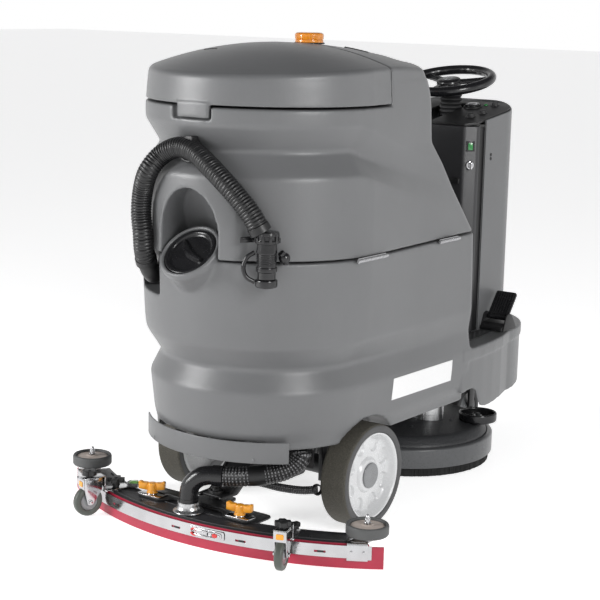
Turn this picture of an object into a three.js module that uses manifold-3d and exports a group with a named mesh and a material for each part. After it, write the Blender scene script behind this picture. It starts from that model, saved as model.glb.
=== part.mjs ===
// Compact ride-on scrubber drier with one disc brush and a curved rear squeegee.
// Units are millimetres. +X is the machine's left, +Y its rear and +Z up.
// Inside the machine group, y = 0 is the rear axle and z = 0 is the floor; the group is moved so
// that the origin of the whole part is the middle of its footprint.
import * as THREE from 'three';
import { mergeVertices } from 'three/addons/utils/BufferGeometryUtils.js';
import Module from 'manifold-3d';

const wasm = await Module();
wasm.setup();

// ---------------------------------------------------------------- driving dimensions
const REAR_AXLE_Y = 270.54;          // rear axle, from the middle of the footprint
const NOSE_Y = -935;                // front of the platform
const BARREL_Y = 55;                // centre of the half-round rear of the tanks
const PARTING_Z = 636;              // joint between the lower and the upper tank
const LID_Z = 963;                  // lower edge of the lid
const LID_FRONT_Y = -24;            // front edge of the lid
const DOME_Z = 1090;                // highest point of the lid
const DOME_Y = 30;
const WALL = 7;                     // wall of the moulded tanks
const GAP = 0.3;                    // clearance between touching pieces

const WHEEL_R = 120;
const WHEEL_X = 240;                // middle of a rear tyre
const TYRE_WIDTH = 70;
const AXLE_R = 12.5;

const PLATFORM_Z = 345;
const COLUMN_HALF = 172;
const COLUMN_FRONT_Y = -839;
const SHELL_REAR_Y = -612;
const COVER_REAR_Y = -570;
const PANEL_REAR_Z = 877;
const PANEL_SLOPE = 0.16;
const PANEL_THICK = 6;
const CONSOLE_FRONT_Y = -834;

const STEER_HUB = [0, -728, 974];
const STEER_TILT = THREE.MathUtils.degToRad(13);
const SHAFT_Y = -748;
const FORK_Y = -868;
const DRIVE_R = 62;

const DECK_Y = -561;
const DECK_R = 236;

const ARC_Y = -385;                 // centre of the squeegee's arc
const BLADE_IN = 747;
const BLADE_OUT = 751;
const BAND_OUT = 753.3;
const SQUEEGEE_TOP = 52;
const CASTER_R = 35;
const CASTER_RADIAL = 794.6;
const CASTER_ANGLE = THREE.MathUtils.degToRad(20.55);
const ROLLER = [399, 215];
const ROLLER_R = 47;
const KNOB_PLACES = [[144, 288], [-107, 283]];
const ELBOW_PLACE = [16, 312];

const FILLER = [0, 334, 647];       // middle of the filler's mouth
const FILLER_TILT = THREE.MathUtils.degToRad(43);   // its axis, from the vertical towards the rear
const BEACON = [0, -89];            // x and y of the beacon
const TILT_HINGE = [-293.6, 634];     // x and z of the line the upper tank tips about

// ---------------------------------------------------------------- materials
const material = (color, roughness, metalness = 0) =>
  new THREE.MeshStandardMaterial({ color, roughness, metalness });
const greyPlastic = material(0x7d7e80, 0.45);
const darkPlastic = material(0x3c3d40, 0.5);
const blackPlastic = material(0x18181a, 0.45);
const rubber = material(0x26282a, 0.8);
const greyRubber = material(0x5a5d60, 0.75);
const tread = material(0x4a493f, 0.9);
const whitePlastic = material(0xe6e7e9, 0.35);
const steel = material(0xb9bcc0, 0.3, 1);
const paintedSteel = material(0x2b2c2f, 0.5, 0.3);
const redRubber = material(0xb62a45, 0.6);
const orange = material(0xee8a1c, 0.4);
const greenLens = material(0x1f9a3a, 0.3);
const seatVinyl = material(0x1c1c1e, 0.6);
const bristle = material(0x111112, 0.9);

// ---------------------------------------------------------------- geometry helpers
// Welds a geometry, drops its collapsed triangles and turns its faces outwards.
function weld(geometry) {
  const bare = new THREE.BufferGeometry();
  bare.setAttribute('position', geometry.getAttribute('position'));
  if (geometry.index) bare.setIndex(geometry.index);
  const welded = mergeVertices(bare, 1e-3);
  const place = welded.getAttribute('position');
  const kept = [];
  let volume = 0;
  const [a, b, c] = [new THREE.Vector3(), new THREE.Vector3(), new THREE.Vector3()];
  for (let i = 0; i < welded.index.count; i += 3) {
    const [p, q, r] = [0, 1, 2].map((k) => welded.index.getX(i + k));
    if (p === q || q === r || r === p) continue;
    kept.push([p, q, r]);
    volume += a.fromBufferAttribute(place, p)
      .dot(b.fromBufferAttribute(place, q).cross(c.fromBufferAttribute(place, r)));
  }
  welded.setIndex(kept.flatMap(([p, q, r]) => (volume < 0 ? [p, r, q] : [p, q, r])));
  return welded;
}

function solid(geometry) {
  const welded = weld(geometry);
  return new wasm.Manifold(new wasm.Mesh({
    numProp: 3,
    vertProperties: new Float32Array(welded.getAttribute('position').array),
    triVerts: new Uint32Array(welded.index.array),
  }));
}

function geometryOf(shape) {
  const mesh = shape.getMesh();
  const geometry = new THREE.BufferGeometry();
  geometry.setAttribute('position', new THREE.BufferAttribute(new Float32Array(mesh.vertProperties), 3));
  geometry.setIndex(new THREE.BufferAttribute(new Uint32Array(mesh.triVerts), 1));
  return geometry;
}

const join = (...shapes) => shapes.reduce((whole, shape) => whole.add(shape));
const cut = (whole, ...tools) => tools.reduce((rest, tool) => rest.subtract(tool), whole);

function box(x0, x1, y0, y1, z0, z1) {
  const geometry = new THREE.BoxGeometry(x1 - x0, y1 - y0, z1 - z0);
  return solid(geometry.translate((x0 + x1) / 2, (y0 + y1) / 2, (z0 + z1) / 2));
}

// A cylinder along 'x', 'y' or 'z' from one place to another on that axis.
function cylinder(axis, radius, from, to, centre, sides = 24, endRadius = radius) {
  const geometry = new THREE.CylinderGeometry(endRadius, radius, to - from, sides);
  const middle = (from + to) / 2;
  if (axis === 'x') geometry.rotateZ(-Math.PI / 2).translate(middle, centre[0], centre[1]);
  if (axis === 'y') geometry.translate(centre[0], middle, centre[1]);
  if (axis === 'z') geometry.rotateX(Math.PI / 2).translate(centre[0], centre[1], middle);
  return solid(geometry);
}

// Turns a closed profile of [radius, height] round an axis through the origin.
function turned(profile, sides = 32, axis = 'z') {
  const points = profile.map(([radius, height]) => new THREE.Vector2(radius, height));
  const geometry = new THREE.LatheGeometry([...points, points[0].clone()], sides);
  if (axis === 'z') geometry.rotateX(Math.PI / 2);
  if (axis === 'x') geometry.rotateZ(-Math.PI / 2);
  return weld(geometry);
}

// Extrudes an outline of [x, y] points from z0 to z1.
function prism(outline, z0, z1) {
  const shape = new THREE.Shape(outline.map(([x, y]) => new THREE.Vector2(x, y)));
  const geometry = new THREE.ExtrudeGeometry(shape, { depth: z1 - z0, bevelEnabled: false });
  return solid(geometry.translate(0, 0, z0));
}

// Extrudes an outline of [y, z] points from x0 to x1.
function sidePrism(outline, x0, x1) {
  const shape = new THREE.Shape(outline.map(([y, z]) => new THREE.Vector2(y, z)));
  const geometry = new THREE.ExtrudeGeometry(shape, { depth: x1 - x0, bevelEnabled: false });
  return solid(geometry.rotateY(Math.PI / 2).rotateX(Math.PI / 2).translate(x0, 0, 0));
}

// Extrudes an outline of [x, z] points from y0 to y1.
function frontPrism(outline, y0, y1) {
  const shape = new THREE.Shape(outline.map(([x, z]) => new THREE.Vector2(x, z)));
  const geometry = new THREE.ExtrudeGeometry(shape, { depth: y1 - y0, bevelEnabled: false });
  return solid(geometry.rotateX(Math.PI / 2).translate(0, y1, 0));
}

// A round bar swept along a smooth curve through the points.
function swept(points, radius, steps, sides = 10) {
  const curve = new THREE.CatmullRomCurve3(points.map((p) => new THREE.Vector3(...p)));
  const section = new THREE.Shape();
  for (let i = 0; i < sides; i += 1) {
    const angle = (2 * Math.PI * i) / sides;
    const [x, y] = [radius * Math.cos(angle), radius * Math.sin(angle)];
    if (i === 0) section.moveTo(x, y);
    else section.lineTo(x, y);
  }
  return solid(new THREE.ExtrudeGeometry(section, { steps, extrudePath: curve, bevelEnabled: false }));
}

// Joins rings of equal length into one closed body; the last ring may be a single point.
function loft(rings) {
  const positions = rings.flat().flat();
  const count = rings[0].length;
  const faces = [];
  const start = rings.map((_, i) => rings.slice(0, i).reduce((sum, ring) => sum + ring.length, 0));
  for (let level = 0; level + 1 < rings.length; level += 1) {
    for (let i = 0; i < count; i += 1) {
      const next = (i + 1) % count;
      const [a, b] = [start[level] + i, start[level] + next];
      if (rings[level + 1].length === 1) {
        faces.push(a, b, start[level + 1]);
        continue;
      }
      const [c, d] = [start[level + 1] + i, start[level + 1] + next];
      faces.push(a, b, d, a, d, c);
    }
  }
  const cap = (level, flip) => {
    const contour = rings[level].map(([x, y]) => new THREE.Vector2(x, y));
    THREE.ShapeUtils.triangulateShape(contour, []).forEach(([p, q, r]) => {
      const face = [p, q, r].map((k) => start[level] + k);
      faces.push(...(flip ? face.reverse() : face));
    });
  };
  cap(0, true);
  if (rings.at(-1).length > 1) cap(rings.length - 1, false);
  const geometry = new THREE.BufferGeometry();
  geometry.setAttribute('position', new THREE.Float32BufferAttribute(positions, 3));
  geometry.setIndex(faces);
  return solid(geometry);
}

// Points of an arc about [cx, cy], angles in degrees from +X.
function arc(cx, cy, radius, from, to, steps) {
  return Array.from({ length: steps + 1 }, (_, i) => {
    const angle = THREE.MathUtils.degToRad(from + ((to - from) * i) / steps);
    return [cx + radius * Math.cos(angle), cy + radius * Math.sin(angle)];
  });
}

const roundedBox = (x0, x1, y0, y1, z0, z1, r, steps = 4) => prism([
  ...arc(x1 - r, y1 - r, r, 0, 90, steps), ...arc(x0 + r, y1 - r, r, 90, 180, steps),
  ...arc(x0 + r, y0 + r, r, 180, 270, steps), ...arc(x1 - r, y0 + r, r, 270, 360, steps),
], z0, z1);

// ---------------------------------------------------------------- scene graph
const machine = new THREE.Group();
machine.position.y = REAR_AXLE_Y;

function place(name, finish, shape, position = [0, 0, 0], rotation = [0, 0, 0], parent = machine) {
  const geometry = shape instanceof THREE.BufferGeometry ? weld(shape) : geometryOf(shape);
  const mesh = new THREE.Mesh(geometry, finish);
  mesh.name = name;
  mesh.position.set(...position);
  mesh.rotation.set(...rotation);
  parent.add(mesh);
  return mesh;
}

// ---------------------------------------------------------------- tank shapes
// Each level gives the rear radius, the front face's y and half width, and the height.
const LOWER_LEVELS = [
  { z: 206, rear: 238, front: -447, half: 228 },
  { z: 230, rear: 251, front: -447, half: 252 },
  { z: 254, rear: 257, front: -447, half: 266 },
  { z: 301, rear: 262, front: -447, half: 271 },
  { z: 339, rear: 267, front: -447, half: 272 },
  { z: 391, rear: 242, front: -447, half: 262 },
  { z: 444, rear: 277, front: -447, half: 271 },
  { z: 470, rear: 280, front: -447, half: 270 },
  { z: 540, rear: 284, front: -446, half: 269 },
  { z: PARTING_Z - 2, rear: 288, front: -444, half: 267 },
];
const UPPER_LEVELS = [
  { z: PARTING_Z + 2, rear: 288, front: -442, half: 266 },
  { z: 754, rear: 286, front: -335, half: 267 },
  { z: 817, rear: 282, front: -284, half: 268 },
  { z: 842, rear: 264, front: -256, half: 268 },
  { z: 868, rear: 248, front: -234, half: 268 },
  { z: 896, rear: 264, front: -229, half: 268 },
  { z: 922, rear: 280, front: -227, half: 268 },
  { z: 976, rear: 279, front: -222, half: 266 },
  { z: 1004, rear: 277, front: -214, half: 264 },
];
const TOP_LEVEL = { z: 1024, rear: 275, front: -200, half: 258 };
const ARC_STEPS = 24;

function bodyOutline(level, inset = 0) {
  const radius = level.rear - inset;
  const half = level.half - inset;
  const front = level.front + inset;
  const corner = 30;
  const ring = [
    ...arc(0, BARREL_Y, radius, 0, 180, ARC_STEPS),
    ...arc(corner - half, front + corner, corner, 180, 270, 4),
    ...arc(half - corner, front + corner, corner, 270, 360, 4),
  ];
  return ring.map(([x, y]) => [x, y, level.z]);
}

// The crown falls away from its highest point to the sides, the rear and, more slowly, the front.
function crownZ(x, y, inset = 0) {
  const along = y > DOME_Y ? 7e-4 : 2.6e-4;
  return DOME_Z - inset - 6.6e-4 * x * x - along * (y - DOME_Y) ** 2;
}

function upperBody(inset) {
  const edge = bodyOutline(TOP_LEVEL, inset);
  const rings = UPPER_LEVELS.map((level) => bodyOutline(level, inset));
  rings.push(edge.map(([x, y]) => [x, y, crownZ(x, y, inset) - 9]));
  [0.95, 0.75, 0.5, 0.25].forEach((scale) => {
    rings.push(edge.map(([x, y]) => {
      const [px, py] = [scale * x, DOME_Y + scale * (y - DOME_Y)];
      return [px, py, crownZ(px, py, inset)];
    }));
  });
  rings.push([[0, DOME_Y, DOME_Z - inset]]);
  return loft(rings);
}

const lowerBody = (inset) => loft(LOWER_LEVELS.map((level) => bodyOutline(level, inset)));

// ---------------------------------------------------------------- lower tank and platform
function platformOutline(inset) {
  const half = 236 - inset;
  const nose = Array.from({ length: 17 }, (_, i) => {
    const angle = Math.PI + (Math.PI * i) / 16;
    return [half * Math.cos(angle), -690 + (-690 - NOSE_Y - inset) * Math.sin(angle)];
  });
  return [[274 - inset, -430], [-274 + inset, -430], ...nose];
}

function lowerTank() {
  const legTop = [[-1000, 400], [-380, 400], [-380, 242], [-552, 236], [-612, 157], [-1000, 178]];
  const legs = prism(platformOutline(0), 150, PLATFORM_Z).intersect(sidePrism(legTop, -300, 300));
  const underside = prism(platformOutline(WALL), 100, PLATFORM_Z - 8);
  const trayTop = box(-300, 300, -1000, -425, 100, PLATFORM_Z - 8);
  const tray = legs.subtract(underside.intersect(trayTop));
  const bay = box(-226, 226, -412, 112, 341, 700);
  const channel = box(-165, 165, -460, 152, 0, 334);
  const wheelRoom = (radius, inner) => [-1, 1].map((side) => (
    cylinder('x', radius, side > 0 ? inner : -320, side > 0 ? 320 : -inner, [0, WHEEL_R], 32)));
  const arches = wheelRoom(138, 196);
  const drainPocket = box(98, 204, 206, 420, 538, 700);
  const boss = fillerPart(68, -150, -1, 68);
  const bore = fillerPart(46, -170, 20, 46);
  const counterbore = fillerPart(61.6, -12, 20, 61.6);
  const aboveParting = box(-100, 100, 0, 232, PARTING_Z - 2, 900);
  const cavity = cut(lowerBody(WALL).intersect(box(-400, 400, -440, 400, 214, 620)),
    box(-172, 172, -460, 159, 0, 341), box(-233, 233, -419, 119, 330, 700),
    box(91, 211, 199, 420, 531, 700),
    ...wheelRoom(138 + WALL, 196 - WALL));
  const whole = join(lowerBody(0), tray, boss.subtract(aboveParting));
  const steeringHole = cylinder('z', 20, 300, 400, [0, SHAFT_Y], 16);
  const wheelMouth = box(-92, 92, -1000, -900, 100, 300);
  const mouths = [bore, counterbore, steeringHole, wheelMouth];
  return cut(whole, channel, ...arches, bay, drainPocket, cavity, ...mouths);
}

// A round part on the filler's slanted axis, between two heights along that axis.
function fillerPart(radius, from, to, endRadius) {
  const geometry = new THREE.CylinderGeometry(endRadius, radius, to - from, 32);
  geometry.rotateX(Math.PI / 2).translate(0, 0, (from + to) / 2).rotateX(-FILLER_TILT);
  return solid(geometry.translate(...FILLER));
}

place('lower_tank', greyPlastic, lowerTank());

// ---------------------------------------------------------------- upper tank
function archOutline(half, top) {
  const spring = PARTING_Z + 50;
  const curve = Array.from({ length: 13 }, (_, i) => {
    const angle = (Math.PI * i) / 12;
    return [half * Math.cos(angle), spring + (top - spring) * Math.sin(angle)];
  });
  return [[half, PARTING_Z - 20], ...curve, [-half, PARTING_Z - 20]];
}

function upperTank() {
  const slope = [[226, 636], [293, 790], [500, 790], [500, 600], [210, 600]];
  const recess = frontPrism(archOutline(78, 786), 150, 420).intersect(sidePrism(slope, -120, 120));
  const guardSlope = [[216, 630], [284, 800], [500, 800], [500, 600], [200, 600]];
  const guard = frontPrism(archOutline(86, 794), 150, 420).intersect(sidePrism(guardSlope, -130, 130));
  const lidRoom = box(-400, 400, LID_FRONT_Y - 2, 420, LID_Z - 3, 1200);
  const inner = upperBody(WALL);
  const water = cut(inner.intersect(box(-400, 400, -20, 400, 650, 1000)), guard);
  const hood = inner.intersect(box(-262, 262, -142, -30, 650, 1050));
  const seatWell = roundedBox(-208, 208, -560, -150, 656, 1300, 20);
  const beaconSeat = cylinder('z', 37, 1083.7, 1120, BEACON, 32);
  const drawHole = cylinder('y', 28, -40, -10, [0, 930], 16);
  return cut(upperBody(0), recess, lidRoom, water, hood, seatWell, drawHole, beaconSeat);
}
place('upper_tank', greyPlastic, upperTank());

// ---------------------------------------------------------------- lid
function lid() {
  const region = box(-400, 400, LID_FRONT_Y, 420, LID_Z, 1200);
  const hollow = upperBody(5).intersect(box(-400, 400, LID_FRONT_Y + 6, 420, 900, 1200));
  const tab = roundedBox(13, 62, 300, 341, LID_Z - 16, LID_Z + 20, 6);
  const tankSide = upperBody(-0.4).intersect(box(0, 80, 200, 420, 900, LID_Z + 1));
  return join(cut(upperBody(0).intersect(region), hollow), cut(tab, tankSide));
}
place('lid', greyPlastic, lid());

// ---------------------------------------------------------------- chassis, axle and rear wheels
const PIVOT = [85, 150];             // y and z of the squeegee arm's pin

function chassisFrame() {
  const sides = [-1, 1].flatMap((side) => {
    const span = (near, far) => (side > 0 ? [near, far] : [-far, -near]);
    return [
      box(...span(118, 138), -602, 130, 296, 326),
      box(...span(118, 160), -45, 45, 296, 326),
      box(...span(150, 160), -45, 45, 96, 326),
      box(...span(54, 62), 71, 99, 138, 326),
    ];
  });
  const crossBars = [[-602, -580], [71, 99]].map(([y0, y1]) => box(-138, 138, y0, y1, 296, 326));
  const frontPlate = box(-88, 88, -908, -585, 318, 328);
  const pin = cylinder('x', 6, -60, 60, PIVOT, 16);
  const holes = [
    cylinder('z', 15.5, 300, 340, [0, SHAFT_Y], 16),
    cylinder('z', 15.5, 300, 340, [0, FORK_Y], 16),
    cylinder('x', 23, -170, 170, [0, WHEEL_R], 24),
  ];
  return cut(join(...sides, ...crossBars, frontPlate, pin), ...holes);
}
place('chassis_frame', paintedSteel, chassisFrame());

function transaxle() {
  const housing = roundedBox(-48, 48, -52, 52, 72, 172, 18);
  const motor = cylinder('y', 44, -210, -50, [0, 122], 24);
  const tubes = cylinder('x', 22, -188, 188, [0, WHEEL_R], 24);
  const boreR = AXLE_R + 0.9;
  const bores = [-1, 1].map((side) => (
    cylinder('x', boreR, side > 0 ? 56 : -200, side > 0 ? 200 : -56, [0, WHEEL_R])));
  return cut(join(housing, motor, tubes), ...bores);
}
place('transaxle', blackPlastic, transaxle());

const RIM_PROFILE = [
  [12.9, -30], [34, -30], [38, -5], [86, -5], [91, -32], [100.4, -32],
  [100.4, 33], [95, 33], [88, 14], [42, 12], [35, 27], [12.9, 27],
];
const TYRE_PROFILE = [
  [100.7, -33], [116, -TYRE_WIDTH / 2], [WHEEL_R, -30], [WHEEL_R, 30], [116, TYRE_WIDTH / 2], [100.7, 33.5],
];
[['left', 1], ['right', -1]].forEach(([label, side]) => {
  const centre = [side * WHEEL_X, 0, WHEEL_R];
  const turn = [0, 0, side > 0 ? 0 : Math.PI];
  place(`${label}_rim`, whitePlastic, turned(RIM_PROFILE, 36, 'x'), centre, turn);
  place(`${label}_tyre`, tread, turned(TYRE_PROFILE, 36, 'x'), centre, turn);
  place(`${label}_half_shaft`, steel, cylinder('x', AXLE_R, -182, 26, [0, 0]), centre, turn);
});

function rearBumper() {
  const [y, radius, reach, thick] = [35, 285, 45.4, 4];
  const strip = [
    ...arc(0, y, radius, 90 - reach, 90 + reach, 20),
    ...arc(0, y, radius - thick, 90 + reach, 90 - reach, 20),
  ];
  const stays = [-1, 1].map((side) => box(side * 132 - 12, side * 132 + 12, 110, 286, 192, 200));
  const crossStay = box(-145, 145, 131, 151, 192, 204);
  return join(prism(strip, 188, 236), ...stays, crossStay, box(-139, 139, 131, 140, 200, 333));
}
place('rear_bumper', greyPlastic, rearBumper());

// ---------------------------------------------------------------- what the tanks carry
place('left_battery', blackPlastic, roundedBox(5, 220, -330, 60, 341.3, 590, 10, 2));
place('right_battery', blackPlastic, roundedBox(-220, -5, -330, 60, 341.3, 590, 10, 2));
place('vacuum_motor', darkPlastic, cylinder('z', 50, 650.3, 800, [0, -86], 24));

function beacon() {
  const profile = [[0, 0], [33, 0], [33, 20], [28, 25], [12, 27], [0, 27]];
  return turned(profile, 28);
}
place('beacon', orange, beacon(), [...BEACON, 1084]);

place('seat_cushion', seatVinyl, roundedBox(-198, 198, -468, -208, 656.3, 712, 30, 4));
place('seat_back', seatVinyl, roundedBox(-184, 184, -204, -150.4, 718, 985, 14, 3));

// Two leaves with a knuckle along the line the upper tank tips about.
function tiltHinge() {
  const knuckle = cylinder('y', 5, 6, 122, TILT_HINGE, 12);
  return join(knuckle, box(TILT_HINGE[0] - 1, TILT_HINGE[0] + 2, 10, 118, 616, 634));
}
place('tilt_hinge', steel, tiltHinge());

const DRAIN_ROUTE = [
  [136, 322, 612], [128, 339, 640], [126, 345, 675], [134, 342, 720], [129, 342, 770], [105, 351, 815],
  [82, 335, 850], [40, 331, 869], [-7, 336, 865], [-58, 347, 840], [-104, 350, 808], [-135, 340, 775],
  [-160, 329, 742], [-174, 319, 712],
];
const ELBOW_TURN = [
  [132, 331, 622], [137, 320, 609], [140, 302, 584], [146, 279, 573], [151, 255, 584], [152, 245, 608],
  [152, 245, 637],
];
place('drain_hose', rubber, join(swept(DRAIN_ROUTE, 22, 40, 10), swept(ELBOW_TURN, 21, 14, 10)));

const NOZZLE = [-187, 309];
function drainNozzle() {
  const barrel = cylinder('z', 20, 608, 684, NOZZLE, 20);
  const collar = cylinder('z', 25, 684, 706, NOZZLE, 20);
  const lug = box(-204, -150, 268, 300, 688, 700);
  return join(barrel, collar, lug.subtract(upperBody(-0.4)));
}
place('drain_nozzle', blackPlastic, drainNozzle());
place('drain_cap', blackPlastic, cylinder('z', 24, 590, 607.6, NOZZLE, 20));

function fillerCap() {
  const grip = box(-34, 34, -7, 7, 0, 14);
  const disc = cylinder('z', 61, -11.6, 2, [0, 0], 32);
  return join(disc, cylinder('z', 44, -26, -11, [0, 0], 32), grip);
}
place('filler_cap', blackPlastic, fillerCap(), FILLER, [-FILLER_TILT, 0, 0]);

// ---------------------------------------------------------------- column, console and steering
const panelZ = (y) => PANEL_REAR_Z + PANEL_SLOPE * (COVER_REAR_Y - y);

function columnPlan(inset, rear) {
  const half = COLUMN_HALF - inset;
  const [corner, front] = [100 - inset, COLUMN_FRONT_Y + inset];
  return [
    [half, rear], [-half, rear], ...arc(corner - half, front + corner, corner, 180, 270, 6),
    ...arc(half - corner, front + corner, corner, 270, 360, 6),
  ];
}

function frontShell() {
  const top = [[-600, 340], [-600, 886], [-800, 914], [-850, 932], [-850, 340]];
  const wall = prism(columnPlan(0, SHELL_REAR_Y), PLATFORM_Z + GAP, 940);
  return cut(wall, prism(columnPlan(5, SHELL_REAR_Y + 20), 300, 950)).intersect(sidePrism(top, -200, 200));
}
place('column_front_shell', greyPlastic, frontShell());

function coverPlan(inset) {
  const chamfer = inset * 0.41;
  return [
    [143 - chamfer, COVER_REAR_Y - inset], [-143 + chamfer, COVER_REAR_Y - inset],
    [-167 + inset, -594 - chamfer],
    [-167 + inset, -602], [167 - inset, -602], [167 - inset, -594 - chamfer],
  ];
}
const coverInner = prism(coverPlan(4.5), 300, 900).add(box(-162.5, 162.5, -620, -598, 300, 900));
const coverOuter = prism(coverPlan(0), PLATFORM_Z + GAP, PANEL_REAR_Z - GAP);
place('column_rear_cover', darkPlastic, cut(coverOuter, coverInner));

function columnCore() {
  const tube = cut(box(-150, 150, -785, -604, PLATFORM_Z + GAP, 868), box(-145, 145, -780, -609, 300, 863));
  return cut(tube, cylinder('z', 15, 850, 880, [0, SHAFT_Y], 16));
}
place('column_core', blackPlastic, columnCore());

function consolePanel() {
  const slab = [
    [COVER_REAR_Y, panelZ(COVER_REAR_Y) + PANEL_THICK],
    [CONSOLE_FRONT_Y, panelZ(CONSOLE_FRONT_Y) + PANEL_THICK],
    [CONSOLE_FRONT_Y, panelZ(CONSOLE_FRONT_Y)], [COVER_REAR_Y, panelZ(COVER_REAR_Y)],
  ];
  const plan = join(prism(columnPlan(5.4, -596), 850, 960), prism(coverPlan(0), 850, 960));
  const notch = box(-38, 38, -786, -500, 850, 960);
  return cut(plan.intersect(sidePrism(slab, -200, 200)), notch);
}
place('console_panel', darkPlastic, consolePanel());

place('steering_bellows', rubber, cut(cylinder('z', 30, 868.3, 944, [0, -743], 20, 27),
  cylinder('z', 23, 860, 950, [0, -743], 20)));

function steeringWheel() {
  const rim = solid(new THREE.TorusGeometry(112, 13, 8, 36));
  const spokes = [90, 210, 330].map((degrees) => {
    const spoke = new THREE.BoxGeometry(90, 22, 7).translate(62, 0, -6);
    return solid(spoke.rotateZ(THREE.MathUtils.degToRad(degrees)));
  });
  const hub = cylinder('z', 30, -22, 6, [0, 0], 20);
  return join(rim, ...spokes, hub, cylinder('z', 11, -72, -20, [0, 0], 12));
}
place('steering_wheel', blackPlastic, steeringWheel(), STEER_HUB, [-STEER_TILT, 0, 0]);

const [SHAFT_COG_R, FORK_COG_R] = [22, 44];
place('steering_shaft', steel, join(
  cylinder('z', 12, 294, 893, [0, 0], 16), cylinder('z', SHAFT_COG_R, 300, 308, [0, 0], 24),
), [0, SHAFT_Y, 0]);

function frontFork() {
  const stem = cylinder('z', 14.5, 140, 332, [0, 0], 16);
  const crown = box(-34, 34, -22, 22, 130, 146);
  const legs = [-1, 1].map((side) => box(side * 30.5 - 3.5, side * 30.5 + 3.5, -14, 14, 48, 140));
  const axle = cylinder('x', 8, -34, 34, [0, DRIVE_R], 16);
  return join(stem, crown, ...legs, axle, cylinder('z', FORK_COG_R, 300, 308, [0, 0], 32));
}
place('front_fork', paintedSteel, frontFork(), [0, FORK_Y, 0]);
const FRONT_HUB_PROFILE = [
  [8.5, -25], [16, -25], [18, -20], [43.6, -20], [43.6, 20], [18, 20], [16, 25], [8.5, 25],
];
const FRONT_TYRE_PROFILE = [[44, -23], [58, -23], [DRIVE_R, -18], [DRIVE_R, 18], [58, 23], [44, 23]];
place('front_hub', darkPlastic, turned(FRONT_HUB_PROFILE, 28, 'x'), [0, FORK_Y, DRIVE_R]);
place('front_tyre', rubber, turned(FRONT_TYRE_PROFILE, 32, 'x'), [0, FORK_Y, DRIVE_R]);

// ---------------------------------------------------------------- controls and platform
function platformMat() {
  const edge = [
    [226, -456], [-226, -456], [-222, -560], [-200, -742], [-178, -800], [-178, -562],
    [178, -562], [178, -800],
    [200, -742], [222, -560],
  ];
  return prism(edge, PLATFORM_Z + GAP, PLATFORM_Z + 4);
}
place('platform_mat', rubber, platformMat());

const PEDAL = { x0: -236, x1: -176, y: -677, z: 378, lean: THREE.MathUtils.degToRad(38) };
place('pedal_base', blackPlastic, box(-238, -174, -712, -640, PLATFORM_Z + 4.3, 366));
place('accelerator_pedal', blackPlastic, join(
  box(PEDAL.x0, PEDAL.x1, -3, 4, 2, 76), cylinder('x', 6, PEDAL.x0, PEDAL.x1, [0, 0], 12),
), [0, PEDAL.y, PEDAL.z], [PEDAL.lean, 0, 0]);

// The rocker and the key sit on the chamfered right side of the rear cover.
const CHAMFER_TURN = THREE.MathUtils.degToRad(45);
const onChamfer = (height, out) => [-155 - out * Math.SQRT1_2, -582 + out * Math.SQRT1_2, height];
const keyAndBarrel = join(cylinder('y', 11, 0, 8, [0, 0], 16), box(-2, 2, 7, 24, -9, 9));
place('rocker_switch', greenLens, box(-11, 11, 0, 5, -13, 13), onChamfer(827, 1.8), [0, 0, CHAMFER_TURN]);
place('ignition_key', steel, keyAndBarrel, onChamfer(779, 0.4), [0, 0, CHAMFER_TURN]);

const panelTurn = [-Math.atan(PANEL_SLOPE), 0, 0];
const onPanel = (x, y, above) => [x, y, panelZ(y) + PANEL_THICK + above];
const SPEED_KNOB_PROFILE = [[0, 0], [20, 0], [20, 7], [14, 10], [0, 10]];
place('speed_knob', steel, turned(SPEED_KNOB_PROFILE, 24), onPanel(-62, -752, 0.4), panelTurn);
place('drive_lever', blackPlastic, join(
  cylinder('z', 5, 0, 26, [0, 0], 10), solid(new THREE.SphereGeometry(9, 12, 8).translate(0, 0, 30)),
), onPanel(56, -700, 2), panelTurn);

// ---------------------------------------------------------------- brush deck
const BRUSH_MOTOR = [-72, DECK_Y];
function brushDeck() {
  const profile = [
    [19, 116], [60, 114], [120, 106], [190, 90], [222, 80], [DECK_R, 74], [DECK_R, 18], [DECK_R - 7, 18],
    [DECK_R - 7, 70], [186, 84], [116, 99], [60, 107], [19, 108],
  ];
  const arm = prism([[-160, -30], [-100, -60], [-90, -30], [-130, 10]], 90, 96.5);
  const post = cylinder('z', 6, 92, 122, [-178, -84], 12);
  const stem = prism([[-190, -92], [-166, -92], [-140, -20], [-165, -20]], 88, 96.5);
  return join(solid(turned(profile, 40)), cylinder('z', 34, 112, 130, [-72, 0], 20), arm, post, stem,
    cylinder('z', 40, 106, 128, [0, 0], 24)).subtract(cylinder('z', 19, 60, 122, [0, 0], 16));
}
place('brush_deck', darkPlastic, brushDeck(), [0, DECK_Y, 0]);
place('brush_motor', steel, cylinder('z', 40, 130.3, 238, BRUSH_MOTOR, 24));
place('brush_disc', bristle, turned([
  [0, 38], [110, 38], [118, 0.5], [DECK_R - 9, 0.5], [DECK_R - 9, 40], [215, 58], [60, 58], [17, 66],
  [17, 118], [0, 118],
], 40), [0, DECK_Y, 0]);
place('deck_roller', blackPlastic, turned([
  [6.5, 101], [44, 101], [50, 105], [50, 122], [44, 126], [42, 126], [42, 106], [12, 106],
  [12, 116], [6.5, 116],
], 24), [-178, DECK_Y - 84, 0]);

// ---------------------------------------------------------------- squeegee
function sector(r0, r1, from, to, z0, z1, steps = 24) {
  const along = (radius, a, b) => arc(0, ARC_Y, radius, 90 - a, 90 - b, steps);
  return prism([...along(r1, to, from), ...along(r0, from, to)], z0, z1);
}

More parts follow.
